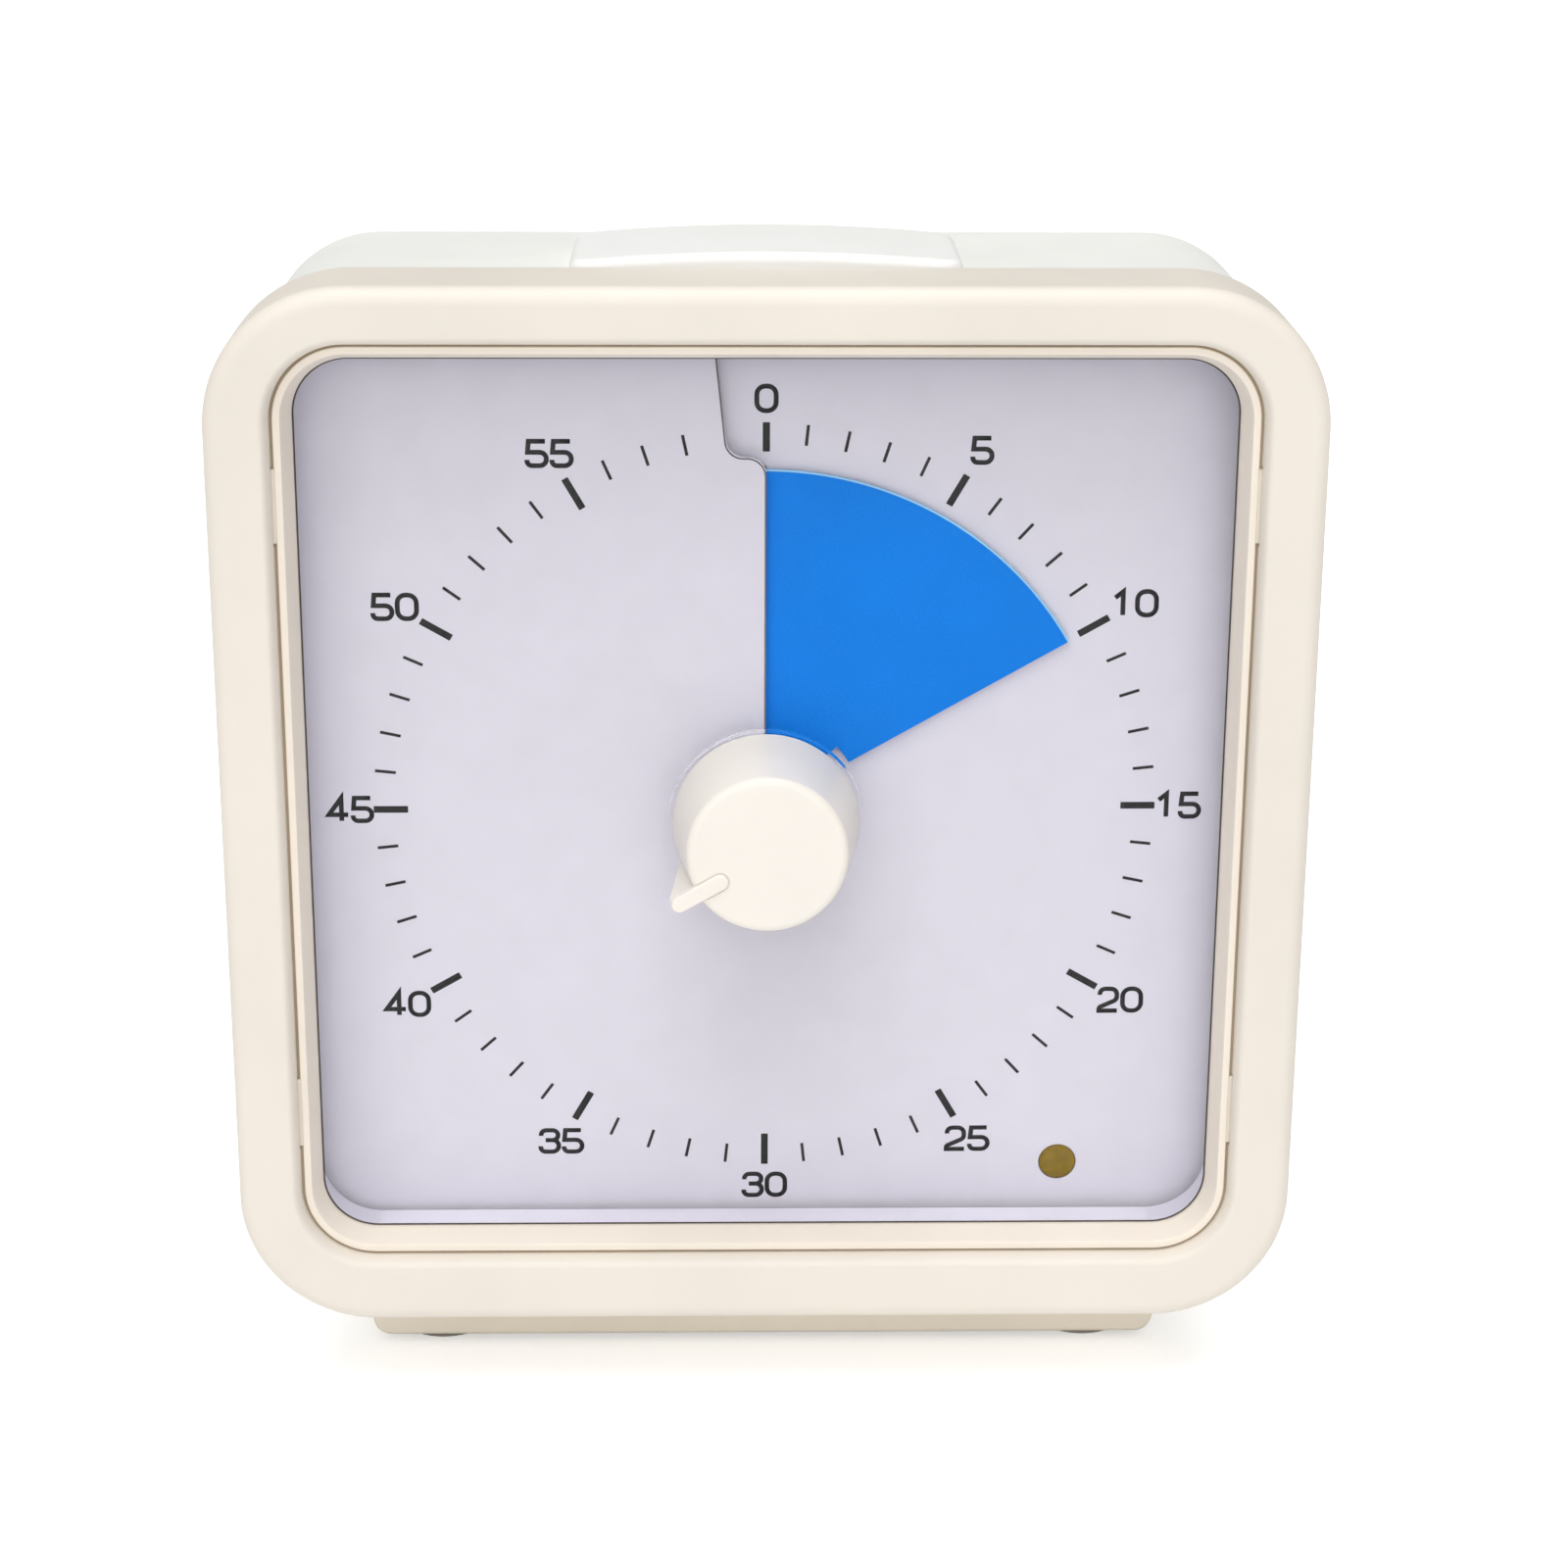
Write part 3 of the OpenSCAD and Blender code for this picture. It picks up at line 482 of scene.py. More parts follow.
def printed_sheet(name, colour):
    """Matt printed card under the lens: soft mottling and short fibres."""
    look, tree, shader, coords = start(name)
    base = linear(colour)
    mottle = between(tree, noise(tree, coords, 260, 6, 0.65), 0, 1)
    mixed = blend_colours(tree, mottle, shade(base, 0.975), shade(base, 1.02))
    tree.links.new(mixed, shader.inputs["Base Color"])
    fibres = noise(tree, coords, 1800, 3, 0.6, (1.0, 1.0, 0.35))
    tree.links.new(between(tree, fibres, 0.62, 0.78), shader.inputs["Roughness"])
    bump(tree, shader, fibres, 0.25, 0.015)
    return look


def glossy_film(name, colour):
    """Coloured polyester film: even colour, satin face, slight waves."""
    look, tree, shader, coords = start(name)
    base = linear(colour)
    drift = between(tree, noise(tree, coords, 70, 3), 0, 1)
    mixed = blend_colours(tree, drift, shade(base, 0.95), shade(base, 1.05))
    tree.links.new(mixed, shader.inputs["Base Color"])
    tree.links.new(between(tree, noise(tree, coords, 500, 4), 0.36, 0.46), shader.inputs["Roughness"])
    bump(tree, shader, noise(tree, coords, 2600, 2), 0.2, 0.006)
    shader.inputs["Specular IOR Level"].default_value = 0.12
    return look


def lamp_resin(name, colour):
    """Tinted, slightly cloudy resin of the indicator lamp."""
    look, tree, shader, coords = start(name)
    base = linear(colour)
    cloud = between(tree, noise(tree, coords, 700, 4), 0, 1)
    mixed = blend_colours(tree, cloud, shade(base, 0.8), shade(base, 1.25))
    tree.links.new(mixed, shader.inputs["Base Color"])
    tree.links.new(between(tree, noise(tree, coords, 1500, 3), 0.22, 0.34), shader.inputs["Roughness"])
    bump(tree, shader, noise(tree, coords, 3000, 2), 0.15, 0.006)
    shader.inputs["Specular IOR Level"].default_value = 0.25
    return look


cream = moulded("cream plastic", (237, 229, 217), 0.42)
# painted light: the knob is made lighter than the frame's cream so that it looks as brightly lit; its finer,
# glossier grain is its own
knob_cream_painted_light = moulded("cream knob plastic painted lighter", (246, 240, 231), 0.36, grain_mm=0.2, depth_mm=0.008)
cream_ring = moulded("lens frame plastic", (245, 235, 221), 0.38, grain_mm=0.3)
# painted light: the plinth is the frame's cream plastic, made lighter to offset the shade under the front
# frame's overhang
plinth_cream_painted_light = moulded("plinth plastic painted lighter", (250, 240, 223), 0.44)
warm_white = moulded("button plastic", (254, 254, 250), 0.4)
cool_white = moulded("housing plastic", (249, 249, 244), 0.46, grain_mm=0.3, depth_mm=0.02)
clear = clear_plastic("clear lens")
dial_card = printed_sheet("printed dial", (220, 217, 227))
ink = moulded("printing ink", (6, 6, 8), 0.55, grain_mm=0.1, depth_mm=0.003, vary=0.1)
# painted shade: dark grey of the hair line down the dial's slit, partly the card's cut edge, partly the
# step's shade
slit_painted_shade = moulded("cut card edge with painted slit shade", (112, 106, 110), 0.7, grain_mm=0.1, depth_mm=0.003, vary=0.1)
# painted shade: dark brown of the strip that stands in for the shadow in the gap at the lens's edge
lens_gap_painted_shade = moulded("painted lens gap shade", (74, 66, 58), 0.7, grain_mm=0.1, depth_mm=0.003, vary=0.1)
# painted shade: tan of the strip that stands in for the shadow down the seam between lens frame and front
# frame
seam_painted_shade = moulded("painted seam shade", (176, 160, 138), 0.7, grain_mm=0.1, depth_mm=0.003, vary=0.1)
# painted highlight: pale blue of the light caught along the disc's rim
film_edge_painted_highlight = glossy_film("painted film edge highlight", (150, 205, 244))
blue_film = glossy_film("blue film", (0, 126, 228))
lamp_look = lamp_resin("lamp resin", (132, 108, 34))
rubber = moulded("pad rubber", (150, 145, 134), 0.72, grain_mm=0.15, depth_mm=0.03, vary=0.12)
inner_white = moulded("inner plastic", (226, 226, 222), 0.5, grain_mm=0.3, depth_mm=0.02)
black_plastic = moulded("black plastic", (34, 34, 36), 0.45, grain_mm=0.2, vary=0.1)
train_plastic = moulded("wheel plastic", (232, 226, 206), 0.35, grain_mm=0.15, depth_mm=0.006)
magnet = moulded("magnet", (70, 68, 70), 0.4, grain_mm=0.1, vary=0.15, metal=0.8)
cell_wrap = moulded("cell wrap", (44, 92, 74), 0.3, grain_mm=0.6, depth_mm=0.008, vary=0.06, coat=0.4)
board = moulded("circuit board", (28, 92, 58), 0.4, grain_mm=0.4, depth_mm=0.01, vary=0.12, coat=0.3)
lead_wire = moulded("lead insulation", (168, 34, 30), 0.45, grain_mm=0.3, vary=0.08)
steel = brushed("bright steel", (196, 196, 198), 0.3, (1, 1, 0.08))
stator_steel = brushed("rolled stator steel", (150, 152, 158), 0.38, (0.1, 1, 1))
brass = brushed("turned brass", (205, 168, 88), 0.3, (1, 0.1, 1))
coil_wire = brushed("enamelled copper wire", (190, 96, 48), 0.32, (0.05, 1, 1))


# ---------- camera and light ----------


def camera():
    """In front of the timer and a little above, looking slightly down through a long lens."""
    place = Vector((-4.81, -313.38, 107.42))
    tip_deg, roll_deg, turn_deg = 71.4465, -0.2630, -1.1187
    data = bpy.data.cameras.new("camera")
    data.lens = 78.79
    data.sensor_width = 36.0
    data.clip_start = 0.01
    eye = bpy.data.objects.new("camera", data)
    eye.location = DIAL + place * MM
    eye.rotation_euler = [math.radians(deg) for deg in (tip_deg, roll_deg, turn_deg)]
    bpy.context.scene.collection.objects.link(eye)
    bpy.context.scene.camera = eye


def sun_light(name, way, spread_deg, strength):
    """A soft far light that shines from a way, seen from the dial."""
    data = bpy.data.lights.new(name, "SUN")
    data.angle = math.radians(spread_deg)
    data.energy = strength
    lamp = bpy.data.objects.new(name, data)
    lamp.location = DIAL + Vector(way)
    lamp.rotation_euler = (-Vector(way)).to_track_quat("-Z", "Y").to_euler()
    bpy.context.scene.collection.objects.link(lamp)


def seen_directly(tree, seen, otherwise):
    """One value for what the camera sees directly and another for the light that things receive."""
    path = tree.nodes.new("ShaderNodeLightPath")
    return between(tree, path.outputs["Is Camera Ray"], otherwise, seen, 0, 1)


def pale_floor():
    """White paper sweep, with a little glow of its own that only the camera sees."""
    look = moulded("pale floor", (250, 250, 250), 0.8, vary=0.004, depth_mm=0.001)
    tree = look.node_tree
    shader = tree.nodes["Principled BSDF"]
    glow = 0.42
    shader.inputs["Emission Color"].default_value = (1, 1, 1, 1)
    tree.links.new(seen_directly(tree, glow, 0), shader.inputs["Emission Strength"])
    return look


def studio():
    """An even soft light with a white backdrop, three soft suns and the floor."""
    world = bpy.data.worlds.new("studio")
    bpy.context.scene.world = world
    world.use_nodes = True
    tree = world.node_tree
    background = tree.nodes["Background"]
    background.inputs["Color"].default_value = (1.0, 1.0, 1.0, 1)
    soft, backdrop = 0.34, 1.0
    tree.links.new(seen_directly(tree, backdrop, soft), background.inputs["Strength"])
    sun_light("key", (-0.25, -0.72, 0.64), 60, 0.8)
    sun_light("top", (0.0, -0.16, 1.0), 50, 1.6)
    sun_light("fill", (0.12, -1.0, 0.1), 45, 0.5)

    floor_half_m = 4
    bm = bmesh.new()
    bmesh.ops.create_grid(bm, x_segments=1, y_segments=1, size=floor_half_m)
    mesh = bpy.data.meshes.new("floor")
    bm.to_mesh(mesh)
    bm.free()
    floor = bpy.data.objects.new("floor", mesh)
    bpy.context.scene.collection.objects.link(floor)
    mesh.materials.append(pale_floor())
    view = bpy.context.scene.view_settings
    view.view_transform = "Standard"
    view.look = "None"


camera()
studio()


# ---------- front frame, lens frame and lens ----------


def clip_blocks(play, reach, corner, rim=0.0):
    """Where the lens frame snaps into the front frame: its clips, or their slots with play all round."""
    half, front, back = 3.5 + play, RING_Y + 0.1 - play, RING_Y + 1.4 + play
    clip_x, clip_z = CORNER_C + INNER_U, 30.0
    blocks = []
    for x in (-clip_x, clip_x):
        for z in (WINDOW_Z - clip_z, WINDOW_Z + clip_z):
            blocks.append(block((x - reach, front, z - half), (x + reach, back, z + half), X, corner, rim))
    return blocks


def make_bezel():
    """Front frame: a hollow band that laps over the housing, with a soft inner edge and four snap slots."""
    slope = 0.85
    hollow_r, lap_r, face_r = 0.4, 0.15, 1.6
    lap_u, lap_y = BODY_U + 0.15, -3.2
    seat_y = LENS_Y - 0.1
    # the last corner only shows which way the face runs, and is left out again
    outer = rounded([
        (INNER_U + WALL, FACE_Y + WALL, hollow_r), (CORNER_R - WALL, FACE_Y + WALL, hollow_r),
        (CORNER_R - WALL, lap_y, 0), (lap_u, lap_y, 0), (lap_u, 0, lap_r), (CORNER_R, 0, lap_r),
        (CORNER_R, FACE_Y, face_r), (INNER_U + slope + 1, FACE_Y, 0)])[:-1]
    soft_edge = [Vector((INNER_U + slope * (1 - math.sin(a)), RING_Y + (FACE_Y - RING_Y) * math.cos(a)))
                 for a in fan(0, 90, 7)]
    seat = [Vector((INNER_U, seat_y)), Vector((INNER_U + WALL, seat_y))]
    bm = sweep_case(outer + soft_edge + seat)
    raise_window(bm, INNER_U + slope + 0.01)
    bezel = to_object("front_frame", bm)
    combine(bezel, gather(clip_blocks(0.3, 1.0, 0.3)), "DIFFERENCE")
    piece("front_frame", bezel, "case", "cream_plastic", cream, "front_bezel")


def make_lens_frame():
    """Lens frame with its four clips, the pale skirt inside it and two fine strips of painted shade round
    it: a dark one at the lens's edge and a tan one down the seam with the front frame.
    """
    skirt_u = RING_U - 0.6
    groove_w, groove_d = 0.12, 0.4
    flat_u, drop_u, drop_d = RING_U - 0.8, RING_U - 0.9, 0.25
    sight_h, ease = 0.4, 0.12
    outline = rounded([
        (RING_U, RING_Y + groove_d, 0), (RING_U - groove_w, RING_Y + groove_d, 0),
        (RING_U - groove_w, RING_Y, ease), (flat_u, RING_Y, ease), (drop_u, RING_Y + drop_d, 0.1),
        (SIGHT_U, LENS_Y - sight_h, ease), (SIGHT_U, LENS_Y, 0), (skirt_u, LENS_Y, 0),
        (skirt_u, ring_high.y, 0), (RING_U, ring_high.y, 0)], 4)
    ring = sweep_case(outline)
    raise_window(ring, CORNER_R)
    shapes = [ring] + clip_blocks(0, 0.75, 0.2, 0.1)
    piece("lens_surround", gather(shapes), "case", "ring_plastic", cream_ring, "lens_frame")

    skirt_t = 0.25
    skirt = window_strip(skirt_u, skirt_u - skirt_t, LENS_Y, ring_high.y)
    piece("window_skirt", skirt, "case", "dial_print", dial_card)

    # painted shade: a dark strip round the lens's edge, standing in for the shadow in the gap between lens
    # and frame
    line_u, line_w = SIGHT_U - 0.02, 0.15
    line = window_strip(line_u, line_u - line_w, LENS_Y - 0.04, LENS_Y + 0.01)
    piece("lens_gap_shade_line", line, "case", "ring_plastic", lens_gap_painted_shade)

    # painted shade: a tan strip down in the seam between lens frame and front frame, standing in for the
    # shadow in the gap
    seam_y, seam_t = RING_Y + 0.32, 0.1
    seam = window_strip(RING_U - 0.3, INNER_U + 0.1, seam_y, seam_y + seam_t)
    piece("ring_seam_shade", seam, "case", "ring_plastic", seam_painted_shade)


def make_lens():
    """Clear lens with eased edges, and a hole in its middle for the knob."""
    half, edge, hole_gap = lens_high.x, 0.15, 0.5
    shape = block((-half, lens_low.y, WINDOW_Z - half), (half, lens_high.y, WINDOW_Z + half), Y,
                  half - CORNER_C, edge, 10)
    pane = to_object("lens_pane", shape)
    hole = rod(BASE_R + hole_gap, lens_low.y - OVER, lens_high.y + OVER, (0, 0), sides=96)
    combine(pane, hole, "DIFFERENCE")
    piece("lens_pane", pane, "case", "lens_clear", clear, "lens")


make_bezel()
make_lens_frame()
make_lens()


# ---------- dial ----------

# the sheets are drawn in steps of this many degrees
DEG_STEP = 1.0


def climb(radii, from_deg, to_deg, lift):
    """Sheet that follows the dial's ramp over some angles, with a ring of edges at each radius."""
    bm = bmesh.new()
    turn = math.radians(from_deg)
    verts = [bm.verts.new((r * math.sin(turn), ramp_y(from_deg) + lift, r * math.cos(turn))) for r in radii]
    edges = [bm.edges.new(pair) for pair in zip(verts, verts[1:])]
    steps = round((to_deg - from_deg) / DEG_STEP)
    rise = (ramp_y(to_deg) - ramp_y(from_deg)) / steps
    bmesh.ops.spin(bm, geom=verts + edges, cent=(0, 0, 0), axis=Y, angle=math.radians(to_deg - from_deg),
                   steps=steps, dvec=(0, rise, 0), use_duplicate=False)
    return bm


def round_slit(bm):
    """Round the two corners where the slit steps sideways, along the edge of the sheet in front."""
    radius = SLIT_ROUND
    level_slack, place_slack = 0.06, 0.01
    for corner_deg, outward, aside in ((0.0, -1, -1), (-SLIT_STEP, 1, 1)):
        corner_level = ramp_y(corner_deg + 360)
        for v in bm.verts:
            if abs(v.co.y - corner_level) > level_slack or not v.is_boundary:
                continue
            deg = math.degrees(math.atan2(v.co.x, v.co.z))
            across = (deg - corner_deg) * math.radians(1) * SLIT_R * aside
            up = (math.hypot(v.co.x, v.co.z) - SLIT_R) * outward
            near, far = sorted((across, up))
            if near < -place_slack or near > place_slack or far > radius:
                continue
            swing = math.radians(45) * (1 - far / radius)
            long, short = radius * (1 - math.sin(swing)), radius * (1 - math.cos(swing))
            across, up = (long, short) if across >= up else (short, long)
            new_deg = math.radians(corner_deg + math.degrees(across * aside / SLIT_R))
            new_r = SLIT_R + up * outward
            v.co.x, v.co.z = new_r * math.sin(new_deg), new_r * math.cos(new_deg)


def make_dial_sheet():
    """One turn of a screw, cut along a slit that steps sideways outside the disc, and cut square."""
    close = 0.6
    inside = [SLIT_R + close * k for k in range(-2, 1)]
    outside = [SLIT_R + close * k for k in range(0, 3)]
    # the flap carries the rear sheet on behind the step, so that the slit shows no gap
    bm = gather([
        climb([DIAL_HOLE, 12, 18, 24, 30] + inside, 0, 360, 0),
        climb(outside + [39, 43, 48, 54, 60, 66], -SLIT_STEP, 360 - SLIT_STEP, 0),
        climb(inside, -5, 0, 0)])
    bmesh.ops.remove_doubles(bm, verts=bm.verts, dist=SHEET_WELD)
    round_slit(bm)

    half = sheet_high.x
    middle = Z * FRAME_UP
    planes = [(middle + way * half, way) for way in (X, -X, Z, -Z)]
    for sx in (-1, 1):
        for sz in (-1, 1):
            corner = Vector((sx, 0, sz))
            way = corner.normalized()
            planes.append((middle + corner * CORNER_C + way * (half - CORNER_C), way))
    for place, way in planes:
        bmesh.ops.bisect_plane(bm, geom=bm.verts[:] + bm.edges[:] + bm.faces[:], dist=1e-5,
                               plane_co=place, plane_no=way, clear_outer=True)
    face_front(bm)
    thicken(bm, SHEET_T)
    settle(bm, 0)
    sheet = to_object("dial", bm)
    lamp_gap = 0.04
    lamp_at = ((lamp_low.x + lamp_high.x) / 2, (lamp_low.z + lamp_high.z) / 2)
    lamp_hole = rod(lamp_high.x - lamp_at[0] + lamp_gap, -4, 4, lamp_at, sides=48)
    combine(sheet, lamp_hole, "DIFFERENCE")
    piece("dial", sheet, "case", "dial_print", dial_card, "dial_sheet", sharp_deg=40)


make_dial_sheet()

# how thick the printing is, and how far it stands off the card
PRINT_LIFT = 0.02
MINUTE_DEG = 6


def follow_ramp(bm, front=False):
    """Lay flat marks, drawn at y = 0, on the dial's face; front puts all of them ahead of the slit."""
    for v in bm.verts:
        deg = math.degrees(math.atan2(v.co.x, v.co.z)) % 360
        cut = 360 - SLIT_STEP if math.hypot(v.co.x, v.co.z) > SLIT_R else 360
        if deg >= cut and not front:
            deg -= 360
        v.co.y += ramp_y(deg) - SHEET_T / 2 - PRINT_LIFT


def tick(length, width, middle_r, deg):
    """A flat bar that points at the dial's centre."""
    bm = bmesh.new()
    across, along_r = X * width / 2, Z * length / 2
    corners = (-across - along_r, across - along_r, across + along_r, along_r - across)
    bm.faces.new([bm.verts.new(corner + Z * middle_r) for corner in corners])
    bmesh.ops.rotate(bm, verts=bm.verts, cent=(0, 0, 0), matrix=Matrix.Rotation(math.radians(deg), 3, "Y"))
    return bm


# centre lines of the figures, each a list of paths of (x, z, corner radius)
WIDE, TALL, STROKE = 1.8, 2.32, 0.46
MID = 0.54 * TALL
FIGURES = {
    "0": [[(0, 0, 0.8), (WIDE, 0, 0.8), (WIDE, TALL, 0.8), (0, TALL, 0.8)]],
    "1": [[(0.2, TALL - 0.62, 0), (0.95, TALL, 0), (0.95, 0, 0)]],
    "2": [[(0.06, TALL - 0.64, 0), (0.06, TALL, 0.54), (WIDE - 0.06, TALL, 0.6),
           (WIDE - 0.06, 0.5 * TALL, 0.5), (0, 0.36, 0.3), (0, 0, 0), (WIDE, 0, 0)]],
    "3": [[(0.06, TALL - 0.6, 0), (0.06, TALL, 0.5), (WIDE - 0.06, TALL, 0.53), (WIDE - 0.06, MID, 0.53),
           (0.5, MID, 0)],
          [(0.8, MID, 0), (WIDE, MID, 0.6), (WIDE, 0, 0.62), (0, 0, 0.5), (0, 0.6, 0)]],
    "4": [[(1.22, 0, 0), (1.22, TALL, 0), (0, 0.62, 0), (WIDE + 0.06, 0.62, 0)]],
    "5": [[(WIDE - 0.1, TALL, 0), (0.16, TALL, 0), (0.06, MID + 0.02, 0), (WIDE, MID + 0.02, 0.62),
           (WIDE, 0, 0.62), (0, 0, 0.46), (0, 0.56, 0)]],
}


def figures(text, place):
    """Upright figures centred on a place: their centre lines as thin upright walls, thickened later."""
    bm = bmesh.new()
    pitch = WIDE + 0.52
    for k, mark in enumerate(text):
        left = place[0] + (k - (len(text) - 1) / 2) * pitch - WIDE / 2
        for path in FIGURES[mark]:
            points = rounded(path, 6)
            verts = [bm.verts.new((left + x, 0, place[1] - TALL / 2 + z)) for x, z in points]
            ends = verts[1:] + verts[:1] if mark == "0" else verts[1:]
            push_edges(bm, [bm.edges.new(pair) for pair in zip(verts, ends)], Y * PRINT_LIFT)
    return bm


def make_marks():
    """Ticks for the minutes, longer and bolder at each fifth, and the figures outside them."""
    major_l, major_w, major_r, top_short = 3.3, 0.68, 36.0, 0.5
    minor_l, minor_w, minor_end = 2.0, 0.3, 37.6
    figure_r, diagonal_out = 39.9, 0.6
    ticks, texts = [], []
    # the slit takes the place of the last minute's tick
    for minute in range(59):
        deg = MINUTE_DEG * minute
        if minute % 5 == 0:
            short = top_short if minute == 0 else 0.0
            ticks.append(tick(major_l - short, major_w, major_r + short / 2, deg))
        else:
            ticks.append(tick(minor_l, minor_w, minor_end - minor_l / 2, deg))
    for minute in range(0, 60, 5):
        turn = math.radians(MINUTE_DEG * minute)
        reach = figure_r + diagonal_out * abs(math.sin(2 * turn))
        texts.append(figures(str(minute), (reach * math.sin(turn), reach * math.cos(turn))))
    bars = gather(ticks)
    follow_ramp(bars)
    face_front(bars)
    thicken(bars, PRINT_LIFT)
    piece("dial_ticks", bars, "case", "dial_print", ink)

    numbers = gather(texts)
    follow_ramp(numbers)
    clean(numbers)
    scale = to_object("dial_figures", numbers)
    thick = scale.modifiers.new("stroke", "SOLIDIFY")
    thick.thickness = STROKE * MM
    thick.offset = 0
    thick.use_even_offset = True
    piece("dial_figures", scale, "case", "dial_print", ink)


def make_slit_edge():
    """A dark hair line down the slit, laid on the front sheet: partly its cut edge, partly painted shade of
    the step down to the rear sheet.
    """
    inset, width, end_r = 0.08, 0.16, 46
    turn = math.radians(-SLIT_STEP)
    near = SLIT_R - inset
    shift = Vector((-inset, 0))
    far = Vector((math.sin(turn), math.cos(turn)))
    path = rounded([
        (*(far * end_r + shift), 0), (*(far * near + shift), SLIT_ROUND),
        (-inset, near, SLIT_ROUND), (-inset, DIAL_HOLE, 0)], 10)
    bm = bmesh.new()
    verts = [bm.verts.new((x, 0, z)) for x, z in path]
    push_edges(bm, [bm.edges.new(pair) for pair in zip(verts, verts[1:])], Y * PRINT_LIFT)
    follow_ramp(bm, front=True)
    line = to_object("dial_slit_edge_shade", bm)
    thick = line.modifiers.new("stroke", "SOLIDIFY")
    thick.thickness = width * MM
    thick.offset = 0
    # painted shade: this line stands in for the shade of the slit's step as well as the cut edge
    piece("dial_slit_edge_shade", line, "case", "dial_print", slit_painted_shade)


make_marks()
make_slit_edge()


# ---------- coloured disc ----------


def make_disc():
    """Coloured film, one turn of the dial's screw: its tail slips under the dial through the slit. A pale
    band round its rim is a painted highlight.
    """
    lift = -PITCH / 2
    full_deg, hub_deg = 358, 12
    hub_r, flat_r, edge_w = 5.03, 9.2, 0.12
    tail, notch = REST_DEG - full_deg, REST_DEG - hub_deg
    radii = [hub_r, flat_r, 14, 20, 26, DISC_R - edge_w, DISC_R]
    level = (disc_low.y + disc_high.y) / 2
    # over its last few degrees, up to the leading edge, the film starts further out from the hub
    bm = gather([climb(radii, tail, notch, lift), climb(radii[1:], notch, REST_DEG, lift)])
    bmesh.ops.remove_doubles(bm, verts=bm.verts, dist=SHEET_WELD)
    face_front(bm)
    thicken(bm, FILM_T)
    settle(bm, level)
    piece("blue_disc", bm, "disc", "disc_film", blue_film, "time_disc", sharp_deg=40)

    # painted highlight: a pale blue band just outside the film's rim stands in for light caught along the
    # film's edge
    highlight_gap, highlight_w = 0.02, 0.2
    rim = climb([DISC_R + highlight_gap, DISC_R + highlight_w], tail, REST_DEG, lift)
    thicken(rim, FILM_T)
    settle(rim, level)
    piece("disc_rim_highlight", rim, "disc", "disc_film", film_edge_painted_highlight, sharp_deg=40)


make_disc()


# ---------- knob ----------


def make_knob():
    """Tapered knob with a round front edge and a pointer: a nub in a shallow moat, carried by a fin."""
    back, front = knob_high.y, -14.5
    tip_r, edge, taper_deg = 7.6, 0.8, 7
    arc = [(tip_r - edge + edge * math.cos(a), front + edge - edge * math.sin(a))
           for a in fan(taper_deg, 90, 10)]
    foot = [(BASE_R - 0.35, back), (BASE_R - 0.1, back - 0.1), (BASE_R, back - 0.35)]
    knob = to_object("knob", lathe([(0, back)] + foot + arc + [(0, front)], 128))

    # the pointer is drawn straight up, and then turned to lie opposite the disc's leading edge
    turn = Matrix.Rotation(math.radians(REST_DEG + 180), 3, "Y")
    half, near_r, far_r = 1.55 / 2, 4.3, 10.2
    groove, round_off = 0.14, 0.02
    moat_half = half + groove
    moat = block((-moat_half, front - 0.5, near_r - groove), (moat_half, front + groove, far_r), Y,
                 moat_half - round_off, 0, 8)
    bmesh.ops.rotate(moat, verts=moat.verts, cent=(0, 0, 0), matrix=turn)
    combine(knob, moat, "DIFFERENCE")

    nub_root, nub_edge = 1.6, 0.22
    nub = block((-half, knob_low.y, near_r), (half, front + nub_root, far_r), Y, half - round_off, 0, 8)
    crown = [e for e in nub.edges if max(v.co.y for v in e.verts) < knob_low.y + 0.01]
    bevel(nub, crown, nub_edge, 3)

    fin_half, fin_top, fin_end = half - 0.05, front + 0.6, back - 0.3
    side = [(fin_top, far_r - 2.4), (fin_top, far_r - 0.12),
            (fin_end, BASE_R + 0.12), (fin_end, BASE_R - 1.4)]
    fin = bmesh.new()
    face = fin.faces.new([fin.verts.new((-fin_half, y, r)) for y, r in side])
    pushed = bmesh.ops.extrude_face_region(fin, geom=[face])["geom"]
    moved = [g for g in pushed if isinstance(g, bmesh.types.BMVert)]
    bmesh.ops.translate(fin, verts=moved, vec=X * 2 * fin_half)
    bmesh.ops.recalc_face_normals(fin, faces=fin.faces)
    for bm in (nub, fin):
        bmesh.ops.rotate(bm, verts=bm.verts, cent=(0, 0, 0), matrix=turn)
        combine(knob, bm, "UNION")
    # painted light: the knob's cream is lightened to make it look more brightly lit
    piece("knob", knob, "setting", "knob_plastic", knob_cream_painted_light, "set_knob")


make_knob()


# ---------- lamp ----------


def make_lamp():
    """Round indicator lamp with a softened front edge, set in the dial."""
    radius = (lamp_high.x - lamp_low.x) / 2
    at = ((lamp_low.x + lamp_high.x) / 2, (lamp_low.z + lamp_high.z) / 2)
    front, back, round_off = lamp_low.y, lamp_high.y, 0.25
    rim = [(radius - round_off + round_off * math.sin(a), front + round_off * (1 - math.cos(a)))
           for a in fan(0, 90, 5)]
    body = lathe([(0, front)] + rim + [(radius, back), (0, back)], 48, at)
    piece("lamp", body, "case", "lamp", lamp_look, "dial_lamp")


make_lamp()


# ---------- housing, plinth and battery door ----------

# the top button's outline, and the gap all round it in the housing
BUTTON_HALF, BUTTON_FRONT, BUTTON_BACK = 18.3, 1.4, 18.4
BUTTON_CORNER, BUTTON_GAP = 2.2, 0.15


def slider_block(centre, half_x, half_z, front, corner):
    """Cutter through the rear wall at the volume slider, which lies as far across as it is high."""
    low = (centre - half_x, front, centre - half_z)
    high = (centre + half_x, REAR_Y + OVER, centre + half_z)
    return block(low, high, Y, corner)


